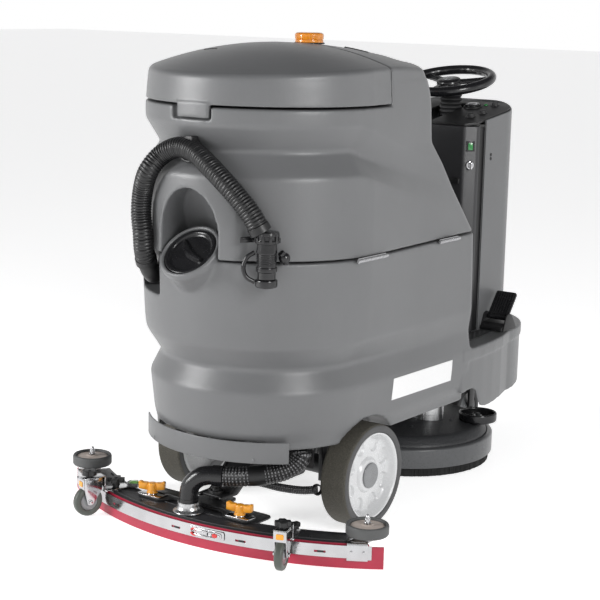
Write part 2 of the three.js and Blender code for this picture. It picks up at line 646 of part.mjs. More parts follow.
const YOKE = [17, 212];
function squeegeeArm() {
  const side = [[238, 66], [238, 74], [196, 74], [94, 160], [78, 141], [178, 66]];
  const tube = cylinder('x', 14, -50, 50, PIVOT, 20);
  const body = join(sidePrism(side, YOKE[0] - 36, YOKE[0] + 33), tube);
  return cut(body, cylinder('x', 6.5, -70, 70, PIVOT, 16),
    cylinder('z', 9.8, 50, 90, YOKE, 20));
}
place('squeegee_arm', paintedSteel, squeegeeArm());

function squeegeeYoke() {
  const outline = [
    [-20, 180], [54, 180], [60, 240], [176, 262], [176, 304], [108, 304], [84, 276], [-52, 276], [-74, 302],
    [-140, 302], [-140, 262], [-30, 240],
  ];
  return join(prism(outline, SQUEEGEE_TOP + 2.3, 65), cylinder('z', 9.3, 60, 84, YOKE, 20));
}
place('squeegee_yoke', paintedSteel, squeegeeYoke());

function squeegeePlate() {
  const rear = arc(0, ARC_Y, BLADE_IN - 0.4, 90 - 33.5, 90 + 33.5, 24);
  const front = [[-395, 226], [-300, 184], [-190, 152], [190, 152], [300, 184], [395, 226]];
  const top = prism([...rear, ...front], SQUEEGEE_TOP - 2, SQUEEGEE_TOP + 2);
  const flange = sector(742, BLADE_IN - 0.4, -33.5, 33.5, 20, SQUEEGEE_TOP);
  return join(top, flange).subtract(cylinder('z', 19, 40, 60, ELBOW_PLACE, 20));
}
place('squeegee_plate', darkPlastic, squeegeePlate());
place('squeegee_blade', redRubber, sector(BLADE_IN, BLADE_OUT, -36.6, 36.6, 0, 49.6, 32));

function squeegeeBand() {
  const strip = sector(BLADE_OUT + GAP, BAND_OUT, -34, 34, 25, 51, 32);
  const ends = [-1, 1].flatMap((side) => {
    const [near, far] = side > 0 ? [30.2, 33.6] : [-33.6, -30.2];
    const lip = sector(722, 766, near, far, 54.6, 58, 3);
    const wrap = sector(BAND_OUT - 0.5, 766, near, far, 18, 58, 3);
    const reach = cylinder('z', 14, 54.6, 60, [side * ROLLER[0], ROLLER[1]], 16);
    const x = side * 391;
    const tongue = box(x - 14, x + 14, 205, 250, 54.6, 58);
    return [lip, wrap, reach, tongue, cylinder('z', 6, 58, 112, [side * ROLLER[0], ROLLER[1]], 12)];
  });
  return join(strip, ...ends);
}
place('squeegee_band', steel, squeegeeBand());

function suctionElbow() {
  const [x, y] = ELBOW_PLACE;
  const foot = SQUEEGEE_TOP + 2.3;
  const route = [
    [x, y, foot + 4], [x, y, 88], [x - 5, y - 2, 116], [x - 24, y - 10, 136], [x - 72, y - 31, 143],
  ];
  const bend = swept(route, 21, 12, 12);
  return join(bend, cylinder('z', 34, foot, foot + 20, ELBOW_PLACE, 20, 23));
}
place('suction_elbow', blackPlastic, suctionElbow());

const wingKnob = () => join(cylinder('z', 11, 0, 24, [0, 0], 14), box(-31, 31, -6, 6, 8, 28));
const WING_KNOB_TURN = THREE.MathUtils.degToRad(35);
['left', 'right'].forEach((label, i) => {
  place(`${label}_wing_knob`, orange, wingKnob(), [...KNOB_PLACES[i], 65.4], [0, 0, WING_KNOB_TURN]);
});

function casterFork() {
  const legs = [-1, 1].map((side) => sidePrism(
    [[770, 92], [812, 92], [812, 70], [802, 27], [787, 27], [770, 66]], side * 13 - 1.5, side * 13 + 1.5,
  ));
  return join(...legs, box(-14.5, 14.5, 757, 812, 89, 92), box(-14.5, 14.5, 755, 758, 54.6, 92),
    box(-17, 17, 690, 758, 54.6, 57.5), cylinder('x', 4, -14.5, 14.5, [CASTER_RADIAL, CASTER_R], 12));
}
const casterWheel = () => turned([
  [4.5, -9.5], [31, -9.5], [CASTER_R, -6], [CASTER_R, 6], [31, 9.5], [4.5, 9.5],
], 24, 'x');
const sideRoller = () => turned([
  [6.6, 66], [14, 66], [40, 68], [ROLLER_R, 72], [ROLLER_R, 88], [40, 93], [30, 93], [28, 88], [6.6, 88],
], 28);
[['left', 1], ['right', -1]].forEach(([label, side]) => {
  const bay = new THREE.Group();
  bay.position.set(0, ARC_Y, 0);
  bay.rotation.z = -side * CASTER_ANGLE;
  machine.add(bay);
  place(`${label}_caster_fork`, steel, casterFork(), [0, 0, 0], [0, 0, 0], bay);
  place(`${label}_caster_wheel`, rubber, casterWheel(), [0, CASTER_RADIAL, CASTER_R], [0, 0, 0], bay);
  place(`${label}_side_roller`, greyRubber, sideRoller(), [side * ROLLER[0], ROLLER[1], 0]);
});

// The suction hose is two lengths that meet above the lifting arm.
const UPPER_HOSE = [
  [-186, 166, 197], [-188, 170, 186], [-178, 186, 168], [-160, 208, 156], [-136, 232, 150],
];
const LOWER_HOSE = [[-110, 252, 147], [-95, 262, 145], [-80, 270, 143.7], [-62, 278, 143.2]];
place('suction_hose_upper', rubber, swept(UPPER_HOSE, 22, 12, 10));
place('suction_hose_lower', rubber, swept(LOWER_HOSE, 22, 6, 10));

const part = new THREE.Group();
part.add(machine);
export default part;
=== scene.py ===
# Looks of a compact ride-on scrubber drier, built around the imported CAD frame.
# Shapes are written in millimetres about the rear axle: +X is the machine's left, +Y its rear,
# +Z up, with z = 0 on the floor. at() turns them into the frame's metres.
import math

import bmesh
import bpy
import numpy as np
from mathutils import Matrix, Vector


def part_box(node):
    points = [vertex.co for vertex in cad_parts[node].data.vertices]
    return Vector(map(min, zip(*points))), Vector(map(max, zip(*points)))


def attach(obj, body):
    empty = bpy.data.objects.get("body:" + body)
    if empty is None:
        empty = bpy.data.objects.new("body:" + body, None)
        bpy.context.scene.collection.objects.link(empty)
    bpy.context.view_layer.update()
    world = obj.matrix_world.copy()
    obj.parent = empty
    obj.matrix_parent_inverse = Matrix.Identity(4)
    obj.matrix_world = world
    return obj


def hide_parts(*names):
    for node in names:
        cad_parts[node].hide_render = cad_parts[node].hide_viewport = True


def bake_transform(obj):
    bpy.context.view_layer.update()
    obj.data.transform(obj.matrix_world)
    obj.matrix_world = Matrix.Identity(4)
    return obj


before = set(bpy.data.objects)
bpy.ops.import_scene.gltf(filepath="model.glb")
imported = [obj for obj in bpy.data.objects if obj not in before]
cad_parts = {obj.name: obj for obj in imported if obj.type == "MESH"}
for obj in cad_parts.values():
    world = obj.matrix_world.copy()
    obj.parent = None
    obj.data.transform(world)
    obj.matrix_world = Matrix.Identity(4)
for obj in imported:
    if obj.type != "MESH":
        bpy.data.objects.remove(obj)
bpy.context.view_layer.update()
MM = 0.001
axle_low, axle_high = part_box("left_half_shaft")
AXLE_Y = (axle_low[1] + axle_high[1]) / 2
scene = bpy.context.scene


def at(point):
    """Turns a point in millimetres about the axle into the frame's metres."""
    return (point[0] * MM, point[1] * MM + AXLE_Y, point[2] * MM)


# ------------------------------------------------------------------ camera, light and floor
def camera_axes(yaw, pitch, roll):
    """The camera's right, up and forward axes, from angles in radians."""
    forward = Vector((math.sin(yaw) * math.cos(pitch), -math.cos(yaw) * math.cos(pitch), -math.sin(pitch)))
    right = forward.cross(Vector((0, 0, 1))).normalized()
    up = right.cross(forward)
    return right * math.cos(roll) + up * math.sin(roll), up * math.cos(roll) - right * math.sin(roll), forward


def make_camera():
    """A long lens behind the machine's right rear corner."""
    data = bpy.data.cameras.new("camera")
    data.sensor_width = 36
    data.lens = 96
    data.shift_x = 0.0354
    data.shift_y = -0.0012
    data.clip_end = 60
    right, up, forward = camera_axes(0.634, 0.191, 0.021)
    camera = bpy.data.objects.new("camera", data)
    turn = Matrix((right, up, -forward)).transposed().to_4x4()
    camera.matrix_world = Matrix.Translation(at((-2169.8, 2960.0, 1204.7))) @ turn
    scene.collection.objects.link(camera)
    scene.camera = camera


def area_light(name, place, target, size, power):
    """A rectangular lamp aimed at a target."""
    data = bpy.data.lights.new(name, "AREA")
    data.shape = "RECTANGLE"
    data.size, data.size_y = size
    data.energy = power
    light = bpy.data.objects.new(name, data)
    light.location = place
    light.rotation_euler = (Vector(target) - Vector(place)).to_track_quat("-Z", "Y").to_euler()
    scene.collection.objects.link(light)


def make_studio():
    """White surroundings, three soft lamps and a pale floor."""
    world = bpy.data.worlds.new("studio")
    scene.world = world
    world.use_nodes = True
    nodes, links = world.node_tree.nodes, world.node_tree.links
    coords = nodes.new("ShaderNodeTexCoord")
    split = nodes.new("ShaderNodeSeparateXYZ")
    ramp = nodes.new("ShaderNodeValToRGB")
    ramp.color_ramp.elements[0].position = 0.18
    ramp.color_ramp.elements[0].color = (1, 1, 1, 1)
    ramp.color_ramp.elements[1].position = 0.62
    ramp.color_ramp.elements[1].color = (0.09, 0.09, 0.095, 1)
    links.new(coords.outputs["Generated"], split.inputs[0])
    links.new(split.outputs["Z"], ramp.inputs[0])
    links.new(ramp.outputs[0], nodes["Background"].inputs["Color"])
    nodes["Background"].inputs["Strength"].default_value = 1.0
    area_light("key", (-3.6, 1.5, 2.1), (0, 0.1, 0.7), (1.0, 1.6), 86)
    area_light("rear_soft", (2.2, 3.0, 1.6), (0, 0.2, 0.7), (1.1, 1.6), 98)
    area_light("side_soft", (-3.0, -1.6, 1.2), (0, -0.3, 0.6), (1.0, 1.6), 4)
    mesh = bpy.data.meshes.new("floor")
    reach = 30
    mesh.from_pydata([(-reach, -reach, 0), (reach, -reach, 0), (reach, reach, 0), (-reach, reach, 0)], [],
                     [(0, 1, 2, 3)])
    floor = bpy.data.objects.new("floor", mesh)
    floor.location.z = -0.0005
    scene.collection.objects.link(floor)
    paint = plain("floor_paint", (0.93, 0.93, 0.93), 0.8, mottle=0.0, grain=0.0, rough_change=0.01)
    glow = paint.node_tree.nodes["Principled BSDF"].inputs
    glow["Emission Color"].default_value = (1, 1, 1, 1)
    glow["Emission Strength"].default_value = 0.62
    mesh.materials.append(paint)
    scene.view_settings.view_transform = "Standard"
    scene.view_settings.look = "None"


# ------------------------------------------------------------------ materials
def shader(name):
    """A new material with its nodes, links and main surface node."""
    material = bpy.data.materials.new(name)
    material.use_nodes = True
    nodes = material.node_tree.nodes
    return material, nodes, material.node_tree.links, nodes["Principled BSDF"]


def noise_node(nodes, links, scale, detail=4.0, stretch=(1, 1, 1)):
    """Noise in the object's own coordinates."""
    coords = nodes.new("ShaderNodeTexCoord")
    mapping = nodes.new("ShaderNodeMapping")
    mapping.inputs["Scale"].default_value = stretch
    noise = nodes.new("ShaderNodeTexNoise")
    noise.inputs["Scale"].default_value = scale
    noise.inputs["Detail"].default_value = detail
    links.new(coords.outputs["Object"], mapping.inputs[0])
    links.new(mapping.outputs[0], noise.inputs["Vector"])
    return noise


def spread(nodes, links, source, low, high):
    """Maps the middle of a noise's range onto low to high."""
    span = nodes.new("ShaderNodeMapRange")
    span.inputs["From Min"].default_value = 0.3
    span.inputs["From Max"].default_value = 0.7
    span.inputs["To Min"].default_value = low
    span.inputs["To Max"].default_value = high
    links.new(source, span.inputs["Value"])
    return span.outputs[0]


def two_tone(nodes, links, source, colour, change):
    """Mixes a darker and a lighter shade of one colour."""
    mix = nodes.new("ShaderNodeMix")
    mix.data_type = "RGBA"
    dark = [c * (1 - change) for c in colour]
    light = [min(1.0, c * (1 + change)) for c in colour]
    mix.inputs["A"].default_value = (*dark, 1)
    mix.inputs["B"].default_value = (*light, 1)
    links.new(source, mix.inputs["Factor"])
    return mix.outputs["Result"]


def bump(nodes, links, height, strength, distance, below=None):
    """Turns a height into a normal, on top of another normal if one is given."""
    node = nodes.new("ShaderNodeBump")
    node.inputs["Strength"].default_value = strength
    node.inputs["Distance"].default_value = distance
    links.new(height, node.inputs["Height"])
    if below is not None:
        links.new(below, node.inputs["Normal"])
    return node.outputs["Normal"]


def plain(name, colour, rough, metal=0.0, mottle=0.06, mottle_scale=9, grain=0.25, grain_scale=900,
          grain_depth=0.0003, rough_change=0.06, coat=0.0, stretch=(1, 1, 1)):
    """A moulded or painted surface: faint blotches, a fine grain and uneven gloss."""
    material, nodes, links, surface = shader(name)
    blotch = noise_node(nodes, links, mottle_scale)
    fine = noise_node(nodes, links, grain_scale, 2.0, stretch)
    links.new(two_tone(nodes, links, spread(nodes, links, blotch.outputs["Fac"], 0, 1), colour, mottle),
              surface.inputs["Base Color"])
    links.new(spread(nodes, links, fine.outputs["Fac"], rough - rough_change, rough + rough_change),
              surface.inputs["Roughness"])
    links.new(bump(nodes, links, fine.outputs["Fac"], grain, grain_depth), surface.inputs["Normal"])
    surface.inputs["Metallic"].default_value = metal
    surface.inputs["Coat Weight"].default_value = coat
    surface.inputs["Coat Roughness"].default_value = 0.12
    return material


def pebbled(name, colour, rough):
    """Roto-moulded shell: blotches, edge-scale waviness and a fine speckle that breaks up the gloss."""
    material, nodes, links, surface = shader(name)
    blotch = noise_node(nodes, links, 7, 5)
    speck = noise_node(nodes, links, 1100, 1)
    wave = noise_node(nodes, links, 55, 2)
    tone = two_tone(nodes, links, spread(nodes, links, blotch.outputs["Fac"], 0, 1), colour, 0.035)
    mix = nodes.new("ShaderNodeMix")
    mix.data_type = "RGBA"
    mix.blend_type = "OVERLAY"
    mix.inputs["Factor"].default_value = 0.16
    links.new(tone, mix.inputs["A"])
    links.new(speck.outputs["Fac"], mix.inputs["B"])
    links.new(mix.outputs["Result"], surface.inputs["Base Color"])
    links.new(spread(nodes, links, speck.outputs["Fac"], rough - 0.05, rough + 0.09),
              surface.inputs["Roughness"])
    slow = bump(nodes, links, wave.outputs["Fac"], 0.12, 0.0015)
    links.new(bump(nodes, links, speck.outputs["Fac"], 0.5, 0.0004, slow), surface.inputs["Normal"])
    surface.inputs["Specular IOR Level"].default_value = 0.5
    return material


def brushed(name, colour, rough, stretch, strength=0.2):
    """Metal with fine lines drawn out along one direction."""
    material, nodes, links, surface = shader(name)
    lines = noise_node(nodes, links, 350, 3, stretch)
    blotch = noise_node(nodes, links, 18, 3)
    links.new(two_tone(nodes, links, spread(nodes, links, blotch.outputs["Fac"], 0, 1), colour, 0.08),
              surface.inputs["Base Color"])
    links.new(spread(nodes, links, lines.outputs["Fac"], rough - 0.07, rough + 0.1),
              surface.inputs["Roughness"])
    links.new(bump(nodes, links, lines.outputs["Fac"], strength, 0.0002), surface.inputs["Normal"])
    surface.inputs["Metallic"].default_value = 1.0
    return material


def cellular(name, colour, rough, cell_scale, strength, depth, change=0.12):
    """Leather-like or stippled surface from cells with soft borders."""
    material, nodes, links, surface = shader(name)
    coords = nodes.new("ShaderNodeTexCoord")
    cells = nodes.new("ShaderNodeTexVoronoi")
    cells.feature = "SMOOTH_F1"
    cells.inputs["Scale"].default_value = cell_scale
    links.new(coords.outputs["Object"], cells.inputs["Vector"])
    links.new(two_tone(nodes, links, cells.outputs["Distance"], colour, change), surface.inputs["Base Color"])
    fine = noise_node(nodes, links, cell_scale * 3, 3)
    links.new(spread(nodes, links, fine.outputs["Fac"], rough - 0.06, rough + 0.08),
              surface.inputs["Roughness"])
    soft = bump(nodes, links, fine.outputs["Fac"], 0.15, depth * 0.4)
    links.new(bump(nodes, links, cells.outputs["Distance"], strength, depth, soft), surface.inputs["Normal"])
    return material


def clear_tint(name, colour, rough, through):
    """A coloured moulded lens or see-through window."""
    material, nodes, links, surface = shader(name)
    ripple = noise_node(nodes, links, 120, 2)
    links.new(two_tone(nodes, links, spread(nodes, links, ripple.outputs["Fac"], 0, 1), colour, 0.1),
              surface.inputs["Base Color"])
    links.new(bump(nodes, links, ripple.outputs["Fac"], 0.1, 0.0005), surface.inputs["Normal"])
    surface.inputs["Roughness"].default_value = rough
    surface.inputs["Transmission Weight"].default_value = through
    surface.inputs["Coat Weight"].default_value = 0.4
    return material


SHELL = pebbled("grey_shell", (0.120, 0.122, 0.125), 0.33)
SHELL_DARK = pebbled("charcoal_cover", (0.024, 0.024, 0.026), 0.36)
BLACK = plain("black_moulding", (0.007, 0.007, 0.0075), 0.46, mottle=0.15, grain=0.2, grain_scale=700)
SATIN_BLACK = plain("satin_black", (0.008, 0.008, 0.009), 0.22, mottle=0.1, grain=0.06, grain_scale=300)
RUBBER = plain("black_rubber", (0.016, 0.016, 0.017), 0.6, mottle=0.2, mottle_scale=40, grain=0.3,
               grain_scale=500)
HOSE = plain("ribbed_hose", (0.005, 0.005, 0.0055), 0.4, mottle=0.15, mottle_scale=30, grain=0.1,
             grain_scale=400)
DECK = cellular("deck_casting", (0.024, 0.025, 0.027), 0.48, 260, 0.7, 0.0012)
DECK_RING = plain("deck_ring", (0.07, 0.072, 0.075), 0.3, grain=0.12, grain_scale=500)
TREAD = cellular("tyre_tread", (0.072, 0.067, 0.054), 0.75, 330, 0.9, 0.0012, 0.35)
SIDEWALL = plain("tyre_side", (0.055, 0.055, 0.056), 0.55, mottle=0.1, mottle_scale=30, grain=0.2)
WHITE = plain("white_rim", (0.56, 0.565, 0.57), 0.25, mottle=0.02, grain=0.05, grain_scale=300, coat=0.3)
GREY_CAP = plain("hub_cap", (0.17, 0.175, 0.18), 0.3, grain=0.08, coat=0.3)
ROLLER_GREY = plain("roller_tread", (0.07, 0.072, 0.072), 0.6, mottle=0.12, grain=0.35, grain_scale=350)
ROLLER_HUB = plain("roller_hub", (0.42, 0.36, 0.32), 0.5, mottle=0.08, grain=0.1)
STAINLESS = brushed("stainless", (0.5, 0.5, 0.51), 0.13, (0.05, 0.05, 1), 0.12)
BRIGHT = brushed("polished_bracket", (0.5, 0.5, 0.51), 0.12, (1, 1, 0.2), 0.05)
ALUMINIUM = brushed("aluminium_turned", (0.5, 0.505, 0.51), 0.3, (1, 1, 0.05), 0.3)
HOSE_CREST = plain("hose_crest", (0.13, 0.13, 0.135), 0.3, mottle=0.5, mottle_scale=400, grain=0.3,
                   grain_scale=300)
BLACK_STEEL = plain("painted_steel", (0.02, 0.02, 0.021), 0.38, metal=0.2, mottle=0.12, grain=0.15,
                    grain_scale=260)
BLADE_RED = plain("blade_rubber", (0.36, 0.017, 0.045), 0.42, mottle=0.08, mottle_scale=25, grain=0.15,
                  grain_scale=300)
LATCH_RED = plain("latch_red", (0.55, 0.02, 0.02), 0.3, grain=0.05, coat=0.3)
ORANGE = plain("orange_knob", (0.74, 0.31, 0.02), 0.33, mottle=0.05, grain=0.06, coat=0.2)
AMBER = clear_tint("amber_lens", (0.95, 0.33, 0.02), 0.15, 0.35)
GREEN = clear_tint("green_lens", (0.01, 0.2, 0.035), 0.2, 0.0)
LEVEL_GREEN = clear_tint("level_green", (0.35, 0.75, 0.2), 0.12, 0.3)
VINYL = cellular("seat_vinyl", (0.018, 0.018, 0.019), 0.42, 520, 0.3, 0.0007)
MAT = cellular("platform_rubber", (0.028, 0.029, 0.03), 0.6, 160, 0.6, 0.0012)
BRISTLE = plain("bristle_pack", (0.003, 0.003, 0.003), 0.85, mottle=0.5, mottle_scale=300, grain=0.9,
                grain_scale=700,
                grain_depth=0.002, stretch=(1, 1, 0.05))
LABEL = plain("blank_plate", (0.72, 0.72, 0.72), 0.3, mottle=0.01, grain=0.03)
CHROME = brushed("chromed", (0.5, 0.5, 0.51), 0.08, (1, 1, 1), 0.03)
SILVER = plain("silver_knob", (0.4, 0.4, 0.41), 0.25, metal=0.7, mottle=0.03, grain=0.05)
BATTERY = plain("battery_case", (0.03, 0.03, 0.034), 0.45)


# ------------------------------------------------------------------ mesh helpers
class Part:
    """Collects vertices in millimetres and faces, then makes one object of them."""

    def __init__(self):
        self.points = []
        self.faces = []
        self.paints = []

    def add(self, shape, turn=None, paint=0):
        points, faces = shape
        start = len(self.points)
        for p in points:
            v = Vector(p)
            self.points.append(turn @ v if turn is not None else v)
        self.faces += [tuple(start + k for k in face) for face in faces]
        self.paints += [paint] * len(faces)
        return self

    def make(self, name, materials, body, replaced=(), angle=32, bevel=0.0, steps=2, slot=None):
        mesh = bpy.data.meshes.new(name)
        mesh.from_pydata([at(p) for p in self.points], [], self.faces)
        materials = materials if isinstance(materials, (list, tuple)) else [materials]
        for material in materials:
            mesh.materials.append(material)
        for face, paint in zip(mesh.polygons, self.paints):
            face.material_index = paint
        tidy_mesh(mesh, bevel, steps)
        return settle(mesh, name, body, replaced, angle)

    def shape(self):
        return [tuple(p) for p in self.points], self.faces


def tidy_mesh(mesh, bevel=0.0, steps=2):
    """Merges doubled vertices, turns the faces outwards and bevels the sharp edges."""
    work = bmesh.new()
    work.from_mesh(mesh)
    bmesh.ops.remove_doubles(work, verts=work.verts, dist=2e-6)
    bmesh.ops.recalc_face_normals(work, faces=work.faces)
    if bevel:
        sharp = [e for e in work.edges if len(e.link_faces) == 2 and e.calc_face_angle(0) > math.radians(38)]
        bmesh.ops.bevel(work, geom=sharp, offset=bevel * MM, offset_type="OFFSET", segments=steps,
                        profile=0.5,
                        affect="EDGES", clamp_overlap=True)
    work.to_mesh(mesh)
    work.free()


def settle(mesh, name, body, replaced=(), angle=32):
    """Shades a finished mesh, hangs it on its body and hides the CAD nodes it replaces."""
    mesh.polygons.foreach_set("use_smooth", [True] * len(mesh.polygons))
    mesh.set_sharp_from_angle(angle=math.radians(angle))
    piece = bpy.data.objects.new(name, mesh)
    scene.collection.objects.link(piece)
    if body:
        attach(piece, body)
    if replaced:
        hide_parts(*replaced)
    return piece


def shift(x=0, y=0, z=0):
    return Matrix.Translation((x, y, z))


def rot(axis, degrees):
    return Matrix.Rotation(math.radians(degrees), 4, axis)


FILLER_PLACE = shift(0, 334, 647) @ rot("X", -43)
WHEEL_X, WHEEL_Z = 240, 120
FRONT_WHEEL_Y, FRONT_WHEEL_Z = -868, 62
SHAFT_Y = -748
DECK_Y = -561
MOTOR_X = -72
DECK_ROLLER = (-178, -645)
ARM_PIVOT = (0, 85, 150)
WALL_ROLLER_X, WALL_ROLLER_Y = 399, 215
SPEED_KNOB = (-62, -752)
DRIVE_LEVER = (56, -700)
ROCKER_Z, KEY_Z = 827, 779


def smooth_step(value, low, high):
    """Rises smoothly from 0 at low to 1 at high."""
    t = np.clip((np.asarray(value, float) - low) / (high - low), 0, 1)
    return t * t * (3 - 2 * t)


def grid(rows, columns, closed_rows=False, closed_columns=False):
    """Quads of a grid of points numbered row by row."""
    faces = []
    for r in range(rows if closed_rows else rows - 1):
        for c in range(columns if closed_columns else columns - 1):
            below, beside = (r + 1) % rows, (c + 1) % columns
            faces.append((r * columns + c, r * columns + beside, below * columns + beside,
                          below * columns + c))
    return faces


def lathe(profile, sides=64, axis="Z", closed=True, wobble=None):
    """Turns [radius, height] points round an axis; wobble(angle, radius, height) may change a radius."""
    points = []
    for radius, height in profile:
        for k in range(sides):
            a = 2 * math.pi * k / sides
            r = wobble(a, radius, height) if wobble else radius
            points.append((r * math.cos(a), r * math.sin(a), height))
    faces = grid(len(profile), sides, closed, True)
    if axis == "X":
        points = [(z, x, y) for x, y, z in points]
    if axis == "Y":
        points = [(y, z, x) for x, y, z in points]
    return points, faces


def rounded(profile, radius, steps=3, closed=True):
    """Rounds the corners of a profile or outline of 2-D points."""
    out = []
    count = len(profile)
    for i, p in enumerate(profile):
        if not closed and i in (0, count - 1):
            out.append(tuple(p))
            continue
        p, before, after = Vector(p), Vector(profile[i - 1]), Vector(profile[(i + 1) % count])
        r = min(radius, (before - p).length * 0.45, (after - p).length * 0.45)
        a, b = p + (before - p).normalized() * r, p + (after - p).normalized() * r
        for k in range(steps + 1):
            t = k / steps
            out.append(tuple(a * (1 - t) ** 2 + p * 2 * t * (1 - t) + b * t * t))
    return out


def bar(radius, low, high, sides, axis="Z"):
    """A plain cylinder on its axis."""
    return lathe([(0, low), (radius, low), (radius, high), (0, high)], sides, axis, closed=False)


def rounded_box(x0, x1, y0, y1, radius, steps=3):
    """A rectangle's outline with rounded corners."""
    return rounded([(x0, y0), (x1, y0), (x1, y1), (x0, y1)], radius, steps)


def prism(outline, low, high, plane="XY"):
    """Extrudes a 2-D outline from low to high along the plane's normal."""
    count = len(outline)
    flat = [(*p, low) for p in outline] + [(*p, high) for p in outline]
    faces = [tuple(reversed(range(count))), tuple(range(count, 2 * count))]
    faces += [(i, (i + 1) % count, count + (i + 1) % count, count + i) for i in range(count)]
    if plane == "YZ":
        flat = [(c, a, b) for a, b, c in flat]
    if plane == "XZ":
        flat = [(a, c, b) for a, b, c in flat]
    return flat, faces


def block(x0, x1, y0, y1, z0, z1):
    """A box between two corners."""
    return prism([(x0, y0), (x1, y0), (x1, y1), (x0, y1)], z0, z1)


def arc(cx, cy, radius, start, stop, steps):
    """Points of a circular arc, angles in degrees."""
    return [(cx + radius * math.cos(math.radians(start + (stop - start) * k / steps)),
             cy + radius * math.sin(math.radians(start + (stop - start) * k / steps)))
            for k in range(steps + 1)]


def curve_points(route, step):
    """Evenly spaced points of a smooth curve through the route."""
    p = np.array(route, float)
    ends = np.vstack([2 * p[0] - p[1], p, 2 * p[-1] - p[-2]])
    fine = []
    for i in range(1, len(ends) - 2):
        a, b, c, d = ends[i - 1:i + 3]
        for t in np.linspace(0, 1, 40, endpoint=False):
            fine.append(0.5 * (2 * b + (c - a) * t + (2 * a - 5 * b + 4 * c - d) * t ** 2
                               + (3 * b - a - 3 * c + d) * t ** 3))
    fine.append(p[-1])
    fine = np.array(fine)
    run = np.r_[0, np.cumsum(np.linalg.norm(np.diff(fine, axis=0), axis=1))]
    count = max(2, int(round(run[-1] / step)) + 1)
    want = np.linspace(0, run[-1], count)
    return np.stack([np.interp(want, run, fine[:, k]) for k in range(3)], 1), want


def sweep(route, radius, sides=24, step=2.0, rib=None):
    """A round tube along a route. rib(distance, angle) adds to the radius."""
    centres, run = curve_points(route, step)
    tangents = np.gradient(centres, axis=0)
    tangents /= np.linalg.norm(tangents, axis=1)[:, None]
    across = np.cross(tangents[0], (0.2, 0.3, 1.0))
    across /= np.linalg.norm(across)
    points = []
    for centre, tangent, distance in zip(centres, tangents, run):
        across = across - tangent * np.dot(across, tangent)
        across /= np.linalg.norm(across)
        other = np.cross(tangent, across)
        for k in range(sides):
            a = 2 * math.pi * k / sides
            r = radius + (rib(distance, a) if rib else 0)
            points.append(tuple(centre + r * (math.cos(a) * across + math.sin(a) * other)))
    faces = grid(len(centres), sides, False, True)
    last = (len(centres) - 1) * sides
    faces += [tuple(reversed(range(sides))), tuple(range(last, last + sides))]
    return points, faces


def rib_rings(pitch, depth):
    """Separate rings round a hose."""
    return lambda distance, angle: depth * (abs(math.sin(math.pi * distance / pitch)) ** 0.6 - 1)


def rib_spiral(pitch, depth):
    """One rib that winds round a hose."""
    return lambda distance, angle: depth * (abs(math.sin(math.pi * distance / pitch - angle / 2)) ** 0.6 - 1)


def bolt_head(radius, height):
    """A hexagon head on a washer, standing on z = 0."""
    part = Part()
    part.add(lathe([(0, 0), (radius * 1.25, 0), (radius * 1.25, height * 0.2), (0, height * 0.2)], 24))
    hexagon = [(radius * math.cos(math.pi * k / 3), radius * math.sin(math.pi * k / 3)) for k in range(6)]
    part.add(prism(hexagon, height * 0.2, height))
    return part.shape()


# ------------------------------------------------------------------ shells made as solids, then rounded
def solid_object(shape):
    """A temporary object from a shape, for booleans and remeshing."""
    mesh = bpy.data.meshes.new("work")
    mesh.from_pydata([at(p) for p in shape[0]], [], shape[1])
    tidy_mesh(mesh)
    work = bpy.data.objects.new("work", mesh)
    scene.collection.objects.link(work)
    return work


def applied(work):
    """Makes the modifiers of a work object permanent."""
    bpy.context.view_layer.update()
    depsgraph = bpy.context.evaluated_depsgraph_get()
    mesh = bpy.data.meshes.new_from_object(work.evaluated_get(depsgraph))
    work.modifiers.clear()
    work.data = mesh
    return work


def carve(work, *tools, operation="DIFFERENCE"):
    """Cuts, joins or intersects a work object with plain shapes."""
    helpers = []
    for tool in tools:
        helper = solid_object(tool)
        modifier = work.modifiers.new("carve", "BOOLEAN")
        modifier.operation = operation
        modifier.solver = "EXACT"
        modifier.object = helper
        helpers.append(helper)
    applied(work)
    for helper in helpers:
        bpy.data.objects.remove(helper)
    return work


def combine(work, other, operation):
    """Joins or cuts one work object with another, which is used up."""
    modifier = work.modifiers.new("combine", "BOOLEAN")
    modifier.operation = operation
    modifier.solver = "EXACT"
    modifier.object = other
    applied(work)
    bpy.data.objects.remove(other)


def soften(work, voxel, passes):
    """Remeshes a solid evenly and rounds its edges, as a roto-moulded wall has them."""
    remesh = work.modifiers.new("even", "REMESH")
    remesh.mode = "VOXEL"
    remesh.voxel_size = voxel * MM
    relax = work.modifiers.new("round", "SMOOTH")
    relax.factor = 0.5
    relax.iterations = passes
    applied(work)
    mesh = work.data
    bpy.data.objects.remove(work)
    return mesh


def shell_piece(mesh, name, material, body, replaced):
    """Makes a finished piece of a mesh that was worked on as a solid."""
    mesh.name = name
    mesh.materials.clear()
    mesh.materials.append(material)
    return settle(mesh, name, body, replaced, angle=60)


# ------------------------------------------------------------------ tank shells
PARTING_Z = 636
LID_Z = 963
LID_FRONT = -24
BARREL_Y = 55
DOME_Y = 30
CROWN_Z = 1090
# height, radius of the round rear, y of the front face, half width at the front
LOWER_WALL = [
    (228, 250, -447, 252), (254, 257, -447, 266), (301, 262, -447, 271), (341, 266.5, -447, 272),
    (391, 241.5, -447, 264), (445, 277, -447, 271), (470, 280, -447, 270), (540, 284, -446, 269),
    (634, 287.6, -444, 267),
]
UPPER_WALL = [
    (638, 287.6, -442, 266), (754, 286.5, -335, 267), (814, 285, -286, 267), (867, 247.5, -235, 266),
    (921, 281, -227, 268), (950, 281.5, -225, 267.5), (976, 279.5, -222, 266), (1010, 277, -212, 263),
    (1024, 275, -200, 258),
]
CORNER = 34


